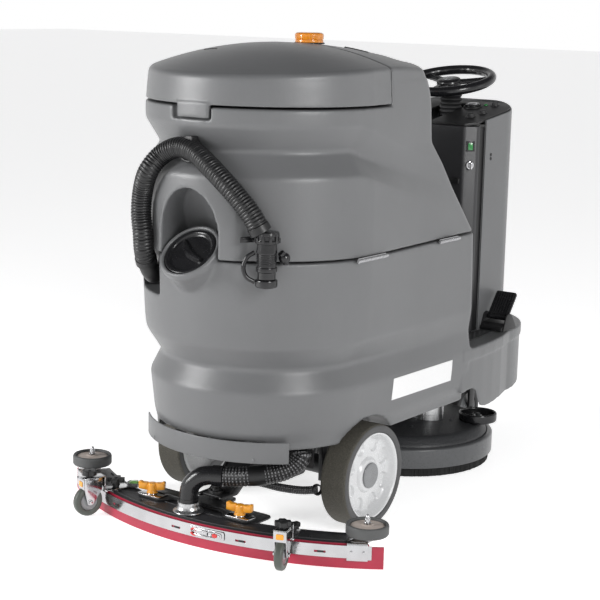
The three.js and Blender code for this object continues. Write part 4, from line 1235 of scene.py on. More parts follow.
def wing_knob(label, x, y, angle):
    """Orange knob with two wings."""
    body = label + "_wing"
    place = shift(x, y, 65.5) @ rot("Z", angle)
    part = Part()
    part.add(lathe(rounded([(0, 0), (13, 0), (12.4, 3), (10.6, 5), (10.6, 20), (9.2, 23.6), (0, 24)], 1,
                           closed=False), 40,
                   closed=False), place)
    for side in (-1, 1):
        wing = [(side * 6, 6.5), (side * 19, 8), (side * 30.5, 9.5), (side * 31, 26), (side * 27, 27.6),
                (side * 16, 22.5), (side * 6, 21)]
        part.add(prism(rounded(wing, 3.2, 4), -5.4, 5.4, "XZ"), place)
        part.add(prism(rounded([(side * 8, -4), (side * 14, -7.5), (side * 30.5, -8.4), (side * 30.5, 8.4),
                                (side * 14, 7.5),
                                (side * 8, 4)], 3), 11, 24), place)
    part.make(label + "_wing_knob_look", ORANGE, body, [label + "_wing_knob"], bevel=1.0, angle=40)


def latch():
    """Over-centre latch that closes the band: red ring and pad, wire loop and stainless hooks."""
    place = on_arc(753.4, -6.0, 37.5)
    flat = place @ rot("X", -90)
    part = Part()
    part.add(prism(rounded_box(-46, 46, -10, 10, 5), 0, 1.2), flat)
    for z in (5.6, -5.6):
        part.add(sweep([(-24, 3.4, z), (-6, 5.2, z), (14, 5.2, z), (30, 3.4, z)], 1.7, 12, 2.0), place)
    hook = rounded([(-40, -6), (-22, -8), (-6, -4), (-6, 4), (-22, 8), (-40, 6)], 3)
    part.add(prism(hook, 1.2, 3.6), flat)
    part.add(prism(rounded([(-4, -7), (20, -9), (26, 0), (20, 9), (-4, 7)], 3), 2.8, 4.8), flat)
    for x in (-34, -14, 6, 38):
        part.add(bolt_head(3.0, 4.6), flat @ shift(x, 0, 1.2))
    part.make("latch_metal", BRIGHT, "squeegee", bevel=0.4, slot="stainless")
    part = Part().add(lathe(rounded_box(5.4, 9.4, 1.4, 4.6, 1), 40), flat @ shift(31, 1, 0))
    part.add(prism(rounded_box(-30, -18, -4, 4, 2.4), 3.6, 6.4), flat)
    part.make("latch_pad", LATCH_RED, "squeegee", bevel=0.6, slot="orange_plastic")


def slot_pins():
    """Dark pins that show through the band's slots."""
    part = Part()
    for angle in SLOT_ANGLES:
        part.add(prism(rounded_box(-8, 5, -2.1, 2.1, 1), -1.0, 1.6),
                 on_arc(751.4, angle, 34.7) @ rot("X", -90))
    part.make("band_pins", BLACK, "squeegee", bevel=0.3, slot="black_plastic")


def thin_hose():
    """The thin braided hose that runs from the arm towards the right wheel."""
    route = [(-40, 190, 112), (-80, 165, 104), (-120, 150, 98), (-165, 134, 97), (-200, 120, 102)]
    part = crested(route, 9.5, 4.2, 1.1, 28)
    part.make("rinse_hose", [HOSE, HOSE_CREST], "chassis", slot="black_rubber", angle=50)
    clamp = Part()
    for place in (route[0], route[-1]):
        clamp.add(lathe(rounded_box(9.8, 12.5, -6, 6, 1), 32, "X"), shift(*place) @ rot("Z", -28))
    clamp.make("rinse_hose_clamps", BLACK_STEEL, "chassis", slot="painted_steel")
    bracket = Part()
    for x0, x1, y0, y1, z0, z1 in ((-150, -143, 120, 176, 128, 190), (-190, -150, 120, 126, 150, 192),
                                   (-118, -110, 140, 186, 150, 192), (100, 108, 140, 186, 150, 192)):
        bracket.add(block(x0, x1, y0, y1, z0, z1))
    bracket.make("underside_brackets", BLACK_STEEL, "chassis", bevel=1.2, slot="painted_steel")


def guide_castor(label, side):
    """Guide wheel in its fork, with the two hand knobs over it."""
    bay = shift(0, ARC_Y, 0) @ rot("Z", -side * 20.55)
    radial = 794.6
    part = Part()
    cheek = rounded([(764, 91.8), (811, 91.8), (811.5, 74), (801, 28), (788, 28), (764, 64)], 6, 5)
    for face in (-1, 1):
        low = face * 13 - 1.5
        part.add(prism(cheek, low, low + 3, "YZ"), bay)
        part.add(bolt_head(5, 4), bay @ shift(face * 14.6, radial, 35) @ rot("Y", 90 * face))
    front = [(808.8, 91.8), (811.8, 91.8), (811.8, 66), (808.8, 66)]
    part.add(prism(front, -14.5, 14.5, "YZ"), bay)
    part.add(block(-14.5, 14.5, 757, 811.8, 89, 92), bay)
    part.add(block(-14.5, 14.5, 755, 758, 54.8, 92), bay)
    part.add(prism(rounded_box(-17, 17, 690, 758, 5), 54.8, 57.6), bay)
    part.make(label + "_castor_fork_look", BRIGHT, "squeegee", [label + "_caster_fork"], bevel=0.7,
              slot="stainless")
    window = Part().add(prism(rounded_box(-8.5, 8.5, 72, 84, 2.5), 811.9, 813.2, "XZ"), bay)
    window.make(label + "_castor_window", ORANGE, "squeegee", bevel=0.4, slot="orange_plastic")
    part = Part()
    part.add(knob_star(19, 15, 4, 0.62, 5), bay @ shift(0, 790, 92.2) @ rot("Z", 22))
    part.add(knob_star(22, 18, 4, 0.45, 4.5), bay @ shift(0, 722, 62) @ rot("Z", 50))
    part.add(bar(8, 57.8, 63, 24), bay @ shift(0, 722, 0))
    part.make(label + "_castor_knobs", BLACK, "squeegee", bevel=1.0, slot="black_plastic")
    wheel = bay @ shift(0, radial, 35)
    tyre = rounded([(21, -8.5), (31, -9.2), (34.8, -6), (34.8, 6), (31, 9.2), (21, 8.5)], 2.4)
    body = label + "_guide_wheel"
    Part().add(lathe(tyre, 72, "X"), wheel).make(label + "_castor_tyre", plain(
        label + "_castor_rubber", (0.06, 0.068, 0.058), 0.4, mottle=0.1, grain=0.15), body,
                                                 [label + "_caster_wheel"])
    hub = rounded([(4.6, -9), (9, -9), (11, -6.5), (19, -6.5), (20.8, -8.2), (20.8, 8.2), (19, 6.5),
                   (11, 6.5), (9, 9), (4.6, 9)], 0.8)
    Part().add(lathe(hub, 48, "X"), wheel).make(label + "_castor_hub", GREY_CAP, body, slot="stainless")


def wall_roller(label, side):
    """Roller that keeps the squeegee's end off a wall."""
    place = shift(side * WALL_ROLLER_X, WALL_ROLLER_Y, 0)
    body = label + "_wall_roller"
    tread = rounded([(38, 66.8), (44, 67.5), (46.8, 71), (46.8, 88), (45, 92), (41, 92.8), (38.5, 90),
                     (38, 84)], 2)
    part = Part().add(lathe(tread, 96), place)
    part.make(label + "_roller_tread", ROLLER_GREY, body, [label + "_side_roller"])
    hub = rounded([(6.7, 66.5), (14, 66.5), (16, 70), (37.6, 70), (37.6, 86.5), (34, 88), (14, 88.8),
                   (12, 91), (6.7, 91)], 1)
    Part().add(lathe(hub, 72), place).make(label + "_roller_hub", ROLLER_HUB, body, slot="grey_rubber")


# ------------------------------------------------------------------ column, console and steering
def panel_z(y):
    """Height of the sloping console."""
    return 877 + 0.16 * (-570 - y)


def column_line(inset, rear):
    """The column's front shell seen from above."""
    half, corner, front = 172 - inset, 100 - inset, -839 + inset
    return ([(-half, rear), (-half, (rear + front + corner) / 2)]
            + arc(corner - half, front + corner, corner, 180, 270, 18)
            + [(0, front)] + arc(half - corner, front + corner, corner, 270, 360, 18) + [(half, rear)])


def cover_line(inset):
    """The column's rear cover seen from above."""
    cut = inset * 0.41
    return [(-167 + inset, -602), (-167 + inset, -594 - cut), (-143 + cut, -570 - inset),
            (143 - cut, -570 - inset),
            (167 - inset, -594 - cut), (167 - inset, -602)]


def standing_wall(plan, thick, low, top, lip=2.4):
    """A thin wall along an open plan; top(y) gives its height, the upper edge is rounded."""
    line = np.array(plan, float)
    ahead = np.gradient(line, axis=0)
    ahead /= np.linalg.norm(ahead, axis=1)[:, None]
    points, rows = [], 0
    for (x, y), (ax, ay) in zip(line, ahead):
        inward = (-ay, ax)
        peak = top(y)
        profile = [(0, low), (0, low + (peak - low) * 0.5), (0, peak - lip)]
        for k in range(1, 8):
            a = math.pi * k / 8
            profile.append((thick / 2 * (1 - math.cos(a)), peak - lip + lip * math.sin(a)))
        profile += [(thick, peak - lip), (thick, low)]
        rows = len(profile)
        points += [(x + inward[0] * d, y + inward[1] * d, z) for d, z in profile]
    count = len(line)
    faces = grid(count, rows, False, True)
    faces += [tuple(range(rows)), tuple(reversed(range((count - 1) * rows, count * rows)))]
    return points, faces


def column():
    """Column shells, core, console panel and bellows."""
    def shell_top(y):
        return float(np.interp(-y, [600, 800, 850], [886, 914, 932]))
    part = Part().add(standing_wall(column_line(0, -633), 5, 345.4, shell_top))
    part.make("column_front_look", SHELL, "chassis", ["column_front_shell"], angle=40)
    part = Part().add(standing_wall(rounded(cover_line(0), 6, 5, closed=False), 4.5, 345.4, lambda y: 876.6,
                                    1.4))
    part.make("column_cover_look", SHELL_DARK, "chassis", ["column_rear_cover"], angle=40)
    part = Part()
    for z, y in ((801, -662), (791, -662)):
        part.add(lathe([(0, 0), (4.4, 0), (4.4, 0.5), (3.4, 0.9), (0, 0.9)], 24, "X", closed=False),
                 shift(-172.9, y, z))
        part.add(lathe([(0, 0), (4.4, 0), (4.4, 0.5), (3.4, 0.9), (0, 0.9)], 24, "X", closed=False),
                 shift(172, y, z))
    part.make("column_plugs", BLACK, "chassis", slot="black_plastic")
    part = Part()
    for side in (-1, 1):
        part.add(block(*sorted((side * 162, side * 166)), -650, -599, 346, 872))
    tube = [(-150, -785), (150, -785), (150, -604), (-150, -604)]
    hollow = [(-145, -780), (145, -780), (145, -609), (-145, -609)]
    ring = [(x, y, z) for line, z in ((tube, 345.5), (tube, 866), (hollow, 866), (hollow, 345.5)) for x,
            y in line]
    part.add((ring, grid(4, 4, True, True))).add(block(-146, 146, -781, -608, 760, 766))
    part.make("column_core_look", BLACK, "chassis", ["column_core"], bevel=0.8)

    outline = rounded(cover_line(0), 6, 5, closed=False) + list(reversed(column_line(5.4, -602)))
    flat = prism(outline, 0, 6)
    lifted = ([(x, y, z + panel_z(y)) for x, y, z in flat[0]], flat[1])
    work = carve(solid_object(lifted), prism(rounded_box(-38, 38, -786, -500, 14), 800, 1000))
    mesh = work.data
    bpy.data.objects.remove(work)
    tidy_mesh(mesh, 1.6, 3)
    shell_piece(mesh, "console_look", BLACK, "chassis", ["console_panel"])
    ribs = []
    for k in range(101):
        t = k / 100
        swell = 4.4 * abs(math.sin(math.pi * t * 10)) ** 0.7
        ribs.append((26.4 - 2.0 * t + swell, 842 + 104 * t))
    profile = ribs + [(22.4, 946), (22.4, 842)]
    Part().add(lathe(profile, 72), shift(0, -743, 0)).make("bellows_look", RUBBER, "chassis",
                                                           ["steering_bellows"], angle=60)
    controls()
    steering()


def on_panel(x, y, above=0.0):
    """Places a shape upright on the sloping console."""
    return shift(x, y, panel_z(y) + 6 + above) @ rot("X", -math.degrees(math.atan(0.16)))


def turned_knob(radius, height, flutes=0):
    """A round knob, fluted if flutes are given."""
    profile = rounded([(0, 0), (radius, 0), (radius * 0.96, height * 0.3), (radius * 0.86, height),
                       (0, height * 1.04)],
                      radius * 0.14, 4, closed=False)
    return lathe(profile, 72, closed=False,
                 wobble=(lambda a, r,
                         z: r - (0.05 * r if r > radius * 0.8 and math.cos(a * flutes) > 0 else 0))
                 if flutes else None)


def controls():
    """Knobs, lever, lamp, rocker switch and key."""
    part = Part()
    part.add(lathe(rounded([(19.6, 0), (25, 0), (24.5, 3), (21.5, 5), (20.6, 4.4), (20.6, 0.4)], 0.8), 72),
             on_panel(*SPEED_KNOB))
    for x, y, radius, height in ((-115, -650, 11, 9), (-125, -695, 9, 8), (-110, -785, 9, 8),
                                 (112, -660, 10, 8)):
        part.add(turned_knob(radius, height, 12), on_panel(x, y))
        part.add(lathe([(0, 0), (radius * 1.3, 0), (radius * 1.25, 1.6), (0, 1.6)], 40, closed=False),
                 on_panel(x, y))
    part.add(lathe(rounded([(9.5, 0), (17, 0), (15.5, 4), (12.5, 7), (11, 8.5), (9.5, 8)], 1), 40),
             on_panel(*DRIVE_LEVER))
    part.make("console_buttons", BLACK, "chassis", slot="black_plastic")
    lamp = [(5.5 * math.sin(math.pi / 2 * k / 6), 0.5 + 3.5 * math.cos(math.pi / 2 * k / 6))
            for k in range(7)]
    Part().add(lathe(lamp + [(5.5, 0), (0, 0)], 24, closed=False), on_panel(-85, -780)).make(
        "charge_lamp", GREEN, "chassis", slot="green_lens")
    part = Part().add(lathe(rounded([(0, 0.2), (19, 0.2), (18.6, 6), (17, 7.6), (0, 7.8)], 0.8,
                                    closed=False), 64,
                            closed=False), on_panel(*SPEED_KNOB, 0.4))
    part.add(prism([(16 * math.cos(a), 8.5 * math.sin(a))
                    for a in np.linspace(0, 2 * math.pi, 40, endpoint=False)],
                   7.2, 10.2), on_panel(*SPEED_KNOB, 0.4) @ rot("Z", 25), 1)
    part.make("speed_knob_look", [SATIN_BLACK, SILVER], "knob", ["speed_knob"], bevel=0.6, slot="stainless")
    part = Part().add(lathe([(0, 0), (5, 0), (4.2, 22), (0, 23)], 24, closed=False),
                      on_panel(*DRIVE_LEVER, 2))
    ball = [(9 * math.sin(math.pi * k / 14), 30 - 9 * math.cos(math.pi * k / 14)) for k in range(15)]
    part.add(lathe(ball, 32, closed=False), on_panel(*DRIVE_LEVER, 2))
    part.make("drive_lever_look", SATIN_BLACK, "lever", ["drive_lever"])

    def on_chamfer(height, out):
        return shift(-155 - out * math.sqrt(0.5), -582 + out * math.sqrt(0.5), height) @ rot("Z", 45)
    part = Part()
    frame_line = rounded_box(-15.5, 15.5, -19, 19, 6, 5)
    inner_line = rounded_box(-11.6, 11.6, -13.8, 13.8, 2.5, 5)
    count = len(frame_line)
    ring = [(x, d, z) for line,
            d in ((frame_line, -0.2), (frame_line, 2.6), (inner_line, 3.4), (inner_line, -0.2)) for x,
            z in line]
    part.add((ring, grid(4, count, True, True)), on_chamfer(ROCKER_Z, 0.3))
    part.add(lathe(rounded([(11.4, 0), (17, 0), (16.4, 3), (12.6, 4), (11.4, 3.2)], 0.8), 56, "Y"),
             on_chamfer(KEY_Z, 0.3))
    part.add(prism(rounded_box(-11, 11, -7, 8, 4), -570.2, -558, "XZ"), shift(-128, 0, 738))
    part.make("switch_bezels", BLACK, "chassis", bevel=0.4, slot="black_plastic")
    part = Part().add(prism(rounded_box(-17, 17, -38, 38, 7), -570.2, -567.4, "XZ"), shift(-124, 0, 690))
    part.make("switch_cover_plate", GREY_CAP, "chassis", bevel=0.4, slot="dark_plastic")
    rows = [(x, d, z) for x in (-11, 11) for z, d in ((-13, 0), (-13, 4.8), (0, 3.2), (13, 4.8), (13, 0))]
    rocker = (rows,
              [(0, 1, 2, 3, 4), (9, 8, 7, 6, 5)]
              + [(k, (k + 1) % 5, 5 + (k + 1) % 5, 5 + k) for k in range(5)])
    part = Part().add(rocker, on_chamfer(ROCKER_Z, 1.8))
    part.add(prism(rounded_box(-6.5, 6.5, -10, 9, 2), 3.0, 5.4, "XZ"), on_chamfer(ROCKER_Z, 1.8), 1)
    part.make("rocker_look", [SATIN_BLACK, GREEN], "rocker", ["rocker_switch"], bevel=0.5)
    part = Part().add(lathe(rounded([(0, 0), (10.8, 0), (10.8, 6.6), (9, 8), (0, 8)], 0.8, closed=False),
                            48, "Y",
                            closed=False), on_chamfer(KEY_Z, 0.4))
    bow = rounded([(-2, -3.4), (11, -3.4), (12, -9), (24, -9), (24, 9), (12, 9), (11, 3.4), (-2, 3.4)], 3, 4)
    part.add(prism(bow, -1.9, 1.9, "YZ"), on_chamfer(KEY_Z, 0.4))
    part.make("key_look", CHROME, "key", ["ignition_key"], bevel=0.5, slot="stainless")


def steering():
    """Steering wheel with three spokes and finger dents."""
    place = shift(0, -728, 979) @ rot("X", -13)
    sides, section = 288, 28
    points = []
    for k in range(sides):
        a = 2 * math.pi * k / sides
        for j in range(section):
            b = 2 * math.pi * j / section
            dent = 0.8 * (0.5 + 0.5 * math.cos(a * 24)) * max(0.0, -math.cos(b)) ** 2
            r = 112 + (12.8 - dent) * math.cos(b)
            points.append((r * math.cos(a), r * math.sin(a), 12.4 * math.sin(b)))
    part = Part().add((points, grid(sides, section, True, True)), place)
    for degrees in (90, 210, 330):
        spoke = [(18, -17), (40, -12.5), (72, -11), (103, -14), (103, 14), (72, 11), (40, 12.5), (18, 17)]
        part.add(prism(rounded(spoke, 8, 5), -10, -1.5), place @ rot("Z", degrees))
        part.add(prism(rounded([(30, -4), (92, -3.4), (92, 3.4), (30, 4)], 3), -1.5, 0.4),
                 place @ rot("Z", degrees))
    hub = rounded([(0, -22), (24, -22), (30, -17), (33, -4), (30, 4), (22, 6), (0, 6)], 3, 4, closed=False)
    part.add(lathe(hub, 72, closed=False), place)
    part.add(lathe([(0, -72), (10.5, -72), (11, -40), (12.5, -26), (17, -22), (0, -21)], 48, closed=False),
             place)
    part.make("steering_wheel_look", SATIN_BLACK, "hand_wheel", ["steering_wheel"], bevel=0.8, angle=45)
    badge = rounded([(0, 6.1), (15, 6.1), (14.4, 7.6), (0, 8.2)], 0.5, closed=False)
    Part().add(lathe(badge, 48, closed=False), place).make("steering_hub_cap", GREY_CAP, "hand_wheel",
                                                           slot="dark_plastic")


def cog(radius, teeth, low, high):
    """A plain toothed wheel."""
    outline = []
    for k in range(teeth):
        for share, reach in ((0.0, 0.88), (0.22, 0.9), (0.38, 1.0), (0.62, 1.0), (0.78, 0.9)):
            a = 2 * math.pi * (k + share) / teeth
            outline.append((radius * reach * math.cos(a), radius * reach * math.sin(a)))
    return prism(outline, low, high)


def running_gear():
    """Shaft, fork, frame, transaxle, bumper and squeegee arm."""
    part = Part().add(bar(12, 294, 893, 40), shift(0, SHAFT_Y, 0))
    part.add(cog(22, 14, 300, 308), shift(0, SHAFT_Y, 0))
    part.make("steering_shaft_look", CHROME, "shaft", ["steering_shaft"], bevel=0.5)
    fork = shift(0, FRONT_WHEEL_Y, 0)
    part = Part().add(bar(14.4, 140, 332, 40), fork)
    part.add(cog(44, 28, 300, 308), fork)
    part.add(prism(rounded_box(-34, 34, -22, 22, 6), 130, 146), fork)
    for side in (-1, 1):
        cheek = rounded([(-14, 138), (14, 138), (13, 70), (9, 48), (-9, 48), (-13, 70)], 6, 4)
        part.add(prism(cheek, side * 30.5 - 3.5, side * 30.5 + 3.5, "YZ"), fork)
        part.add(bolt_head(7, 5), fork @ shift(side * 34, 0, FRONT_WHEEL_Z) @ rot("Y", 90 * side))
    part.add(bar(7.8, -30, 30, 32, "X"), fork @ shift(0, 0, FRONT_WHEEL_Z))
    part.make("front_fork_look", BLACK_STEEL, "fork", ["front_fork"], bevel=0.9)

    part = Part()
    for side in (-1, 1):
        def span(near, far):
            return (near, far) if side > 0 else (-far, -near)
        part.add(block(*span(118, 138), -602, 130, 296, 326)).add(block(*span(118, 160), -45, 45, 296, 326))
        part.add(block(*span(150, 160), -45, 45, 96, 326)).add(block(*span(54, 62), 71, 99, 138, 326))
        for y in (-560, -400, -200, 60):
            part.add(bolt_head(6, 4), shift(side * 128, y, 296) @ rot("X", 180))
    for y0, y1 in ((-602, -580), (71, 99)):
        part.add(block(-138, 138, y0, y1, 296, 326))
    part.add(prism(rounded_box(-88, 88, -908, -585, 10), 318, 328))
    part.add(bar(6, -60, 60, 32, "X"), shift(*ARM_PIVOT))
    part.make("chassis_frame_look", BLACK_STEEL, "chassis", ["chassis_frame"], bevel=1.6)

    part = Part().add(prism(rounded_box(-52, 52, 72, 172, 18, 5), -48, 48, "YZ"))
    fins = []
    for k in range(10):
        start = -208 + k * 15
        fins += [(41, start), (44, start + 1), (44, start + 8), (41, start + 9)]
    part.add(lathe([(0, -210), (40, -210)] + fins + [(41, -50), (0, -50)], 56, "Y", closed=False),
             shift(0, 0, 122))
    for side in (-1, 1):
        part.add(lathe(rounded([(13.4, side * 40), (30, side * 40), (29, side * 60), (22, side * 72),
                                (22, side * 180),
                                (26, side * 181), (26, side * 188), (13.4, side * 188)], 1.5), 56, "X"),
                 shift(0, 0, 120))
        for k in range(6):
            a = math.pi * k / 3
            part.add(bolt_head(4, 4),
                     shift(side * 48, 38 * math.cos(a), 122 + 38 * math.sin(a)) @ rot("Y", 90 * side))
    part.make("transaxle_look", BLACK_STEEL, "chassis", ["transaxle"], bevel=1.2)

    part = Part()
    strip = arc(0, 35, 285, 44.6, 135.4, 64) + arc(0, 35, 281, 135.4, 44.6, 64)
    part.add(prism(strip, 188, 236))
    for side in (-1, 1):
        part.add(block(side * 132 - 12, side * 132 + 12, 110, 284, 192, 200))
    part.add(block(-145, 145, 131, 151, 192, 204)).add(block(-139, 139, 131, 140, 200, 333))
    part.make("rear_bumper_look", SHELL, "chassis", ["rear_bumper"], bevel=1.7, steps=3)
    arm = rounded([(238, 66), (238, 74), (196, 74), (94, 164), (76, 160), (70, 142), (178, 66)], 5, 3)
    part = Part()
    for low, high in ((-19, -11), (42, 50)):
        part.add(prism(arm, low, high, "YZ"))
    web = rounded([(232, 68), (232, 73), (196, 73), (110, 146), (104, 140), (180, 68)], 1.5)
    part.add(prism(web, -12, 43, "YZ"))
    part.add(lathe([(6.6, -49), (14, -49), (14, 49), (6.6, 49)], 40, "X"), shift(*ARM_PIVOT))
    part.add(lathe([(9.9, 60.8), (17, 60.8), (17, 80), (9.9, 80)], 40), shift(17, 212, 0))
    part.make("squeegee_arm_look", BLACK_STEEL, "arm", ["squeegee_arm"], bevel=0.9)


def batteries():
    """Two batteries and the vacuum motor."""
    for label, side in (("left", 1), ("right", -1)):
        x0, x1 = (5, 220) if side > 0 else (-220, -5)
        part = Part()
        part.add(prism(rounded_box(x0, x1, -330, 60, 10, 3), 341.4, 560))
        part.add(prism(rounded_box(x0 + 3, x1 - 3, -327, 57, 8, 3), 560, 576))
        for k in range(6):
            y = -285 + k * 60
            part.add(turned_knob(12, 8, 10), shift((x0 + x1) / 2, y, 576))
        for face_x in (x0 + 1, x1 - 1):
            for k in range(9):
                y = -310 + k * 43
                part.add(block(face_x - 1, face_x + 1, y, y + 9, 380, 540))
        for y in (-300, 30):
            part.add(lathe([(0, 576), (9, 576), (8, 589), (0, 589.6)], 32, closed=False),
                     shift(x0 + 40, y, 0), 1)
        part.make(label + "_battery_look", [BATTERY, SILVER], "chassis", [label + "_battery"], bevel=1.2)
    can = [(0, 650.4), (44, 650.4), (48, 654), (48, 690), (49.6, 692), (49.6, 700), (44, 704), (42, 760),
           (38, 766),
           (30, 790), (12, 796), (10, 799.6), (0, 799.8)]
    Part().add(lathe(rounded(can, 2, closed=False), 72, closed=False), shift(0, -86, 0)).make(
        "vacuum_motor_look", BLACK_STEEL, "recovery_tank", ["vacuum_motor"])


def platform():
    """Studded mat, pedal base and pedal."""
    edge = [(226, -456), (-226, -456), (-222, -560), (-200, -742), (-178, -800), (-178, -562), (178, -562),
            (178, -800),
            (200, -742), (222, -560)]
    part = Part().add(prism(rounded(edge, 6), 345.5, 348.0))

    def inside(x, y):
        if -556 > y:
            return 185 < abs(x) < float(np.interp(-y, [560, 742, 800], [217, 194, 172])) - 3
        return abs(x) < 218 and y < -462
    stud = lathe([(0, 348), (4.2, 348), (3.4, 349.1), (0, 349.2)], 10, closed=False)
    for row in range(26):
        for column_index in range(32):
            x, y = -216 + column_index * 14 + (7 if row % 2 else 0), -796 + row * 13
            if inside(x, y) and not (-243 < x < -168 and -716 < y < -634):
                part.add(stud, shift(x, y, 0))
    part.make("platform_mat_look", MAT, "chassis", ["platform_mat"])

    part = Part()
    part.add(prism(rounded([(-712, 349.4), (-640, 349.4), (-642, 358), (-660, 366), (-706, 366)], 3), -237,
                   -175, "YZ"))
    wedge = rounded([(-716, 349.4), (-646, 349.4), (-662, 388), (-676, 392), (-690, 386)], 5, 4)
    for low in (-240.5, -175):
        part.add(prism(wedge, low, low + 3.5, "YZ"))
    for x, y in ((-228, -648), (-184, -648)):
        part.add(bolt_head(3.5, 3), shift(x, y, 358))
    part.make("pedal_base_look", BLACK, "chassis", ["pedal_base"], bevel=0.9)
    place = shift(-206, -677, 378) @ rot("X", 38)
    part = Part().add(prism(rounded_box(-29.5, 29.5, 2, 76, 7, 5), -3, 3.4, "XZ"), place)
    for k in range(8):
        x = -24.5 + 7 * k
        part.add(prism(rounded_box(x - 1.7, x + 1.7, 6, 72, 1.2), 3.2, 5.2, "XZ"), place)
    part.add(bar(6, -30, 30, 32, "X"), place)
    part.make("pedal_look", SATIN_BLACK, "accelerator", ["accelerator_pedal"], bevel=0.7)


def crown_slit(name, body, ends):
    """A dark slit let into the domed top: the black strip is painted shade that stands in for the dark inside
    of the slit.
    """
    (x0, y0), (x1, y1) = ends
    points = []
    for t in np.linspace(0, 1, 12):
        x, y = x0 + (x1 - x0) * t, y0 + (y1 - y0) * t
        points.append((x, y, crown_height(x, y) - 0.8))
    # The strip's black is painted shade of the slit's inside, not a gap cut into the shell.
    Part().add(sweep(points, 2.3, 14, 3.0)).make(name, BLACK, body, slot="black_plastic")


def small_fittings():
    """Slits, beacon, side plate, tilt hinges and half shafts."""
    crown_slit("hood_slit_right", "recovery_tank", ((-97, -92), (-152, -106)))
    crown_slit("hood_slit_left", "recovery_tank", ((97, -92), (152, -106)))
    crown_slit("lid_slit_left", "tank_lid", ((74, 160), (110, 158)))
    rings = [(0, 0.2), (33, 0.2), (33, 9), (31.6, 9.6), (31.6, 10.4), (33, 11)]
    dome = [(33.4, 20), (32.4, 23.4), (28, 25.6), (20, 26.4), (0, 26.8)]
    part = Part().add(lathe(rounded(rings + dome, 0.8, closed=False), 96, closed=False,
                            wobble=lambda a, r,
                            z: r - (0.7 if r > 20 and z > 11 and math.cos(a * 36) > 0.1 else 0)),
                      shift(0, -89, 1084))
    part.make("beacon_look", AMBER, "recovery_tank", ["beacon"], angle=40)
    base = rounded([(26, -0.4), (36, -0.4), (36, 1.6), (34, 3.4), (33.2, 3.4), (33.2, 0.2), (26, 0.2)], 0.6)
    Part().add(lathe(base, 96), shift(0, -89, 1084.2)).make("beacon_base", BLACK, "recovery_tank",
                                                            slot="black_plastic")

    read = wall_reader(LOWER_WALL, 5)
    rows = []
    for y in np.linspace(-338, -80, 30):
        for z in (281, 284, 306, 330, 333):
            share = (y - BARREL_Y) / (-447 + CORNER - BARREL_Y)
            rear = float(read(z + lower_drop(y), 1))
            rows.append((-(rear + (float(read(z, 3)) - rear) * share), y, z))
    outer = [(x - 1.0, y, z) for x, y, z in rows]
    inner = [(x + 1.5, y, z) for x, y, z in rows]
    count = len(rows)
    faces = grid(30, 5) + [tuple(count + k for k in reversed(f)) for f in grid(30, 5)]
    border = list(range(5)) + [r * 5 + 4 for r in range(1, 30)]
    border += [29 * 5 + k for k in (3, 2, 1, 0)] + [r * 5 for r in range(28, 0, -1)]
    faces += [(a, b, count + b, count + a) for a, b in zip(border, border[1:] + border[:1])]
    Part().add((outer + inner, faces)).make("side_plate", LABEL, "chassis", bevel=0.3, slot="white_plastic")

    for index, (low, high) in enumerate(((6, 122), (-330, -238))):
        part = Part()
        knuckle_x = -293.6 if index == 0 else -281.5
        edge_x = knuckle_x + 5.2
        pieces = 5
        length = (high - low) / pieces
        for k in range(pieces):
            part.add(lathe(rounded([(0, low + k * length + 0.4), (4.0, low + k * length + 0.4),
                                    (4.0, low + (k + 1) * length - 0.4), (0, low + (k + 1) * length - 0.4)],
                                   0.6,
                                   closed=False), 28, "Y", closed=False), shift(knuckle_x, 0, 634))
        for z0, z1 in ((628.5, 633.4), (634.6, 639.5)):
            part.add(prism(rounded_box(low + 3, high - 3, z0, z1, 1.6), edge_x - 3.6,
                           edge_x - 1.4, "YZ"))
        name = "tilt_hinge_look" if index == 0 else "tilt_hinge_front"
        part.make(name, SILVER, "chassis", ["tilt_hinge"] if index == 0 else (), bevel=0.5,
                  slot="stainless" if index else None)
    for label, sign in (("left", 1), ("right", -1)):
        part = Part().add(lathe(rounded([(0, -181), (12.3, -181), (12.3, 24), (10, 25.8), (0, 25.8)], 1,
                                        closed=False), 40,
                                "X", closed=False),
                          shift(sign * WHEEL_X, 0, WHEEL_Z) @ (rot("Z", 180) if sign < 0 else Matrix()))
        part.make(label + "_shaft_look", CHROME, label + "_wheel", [label + "_half_shaft"])


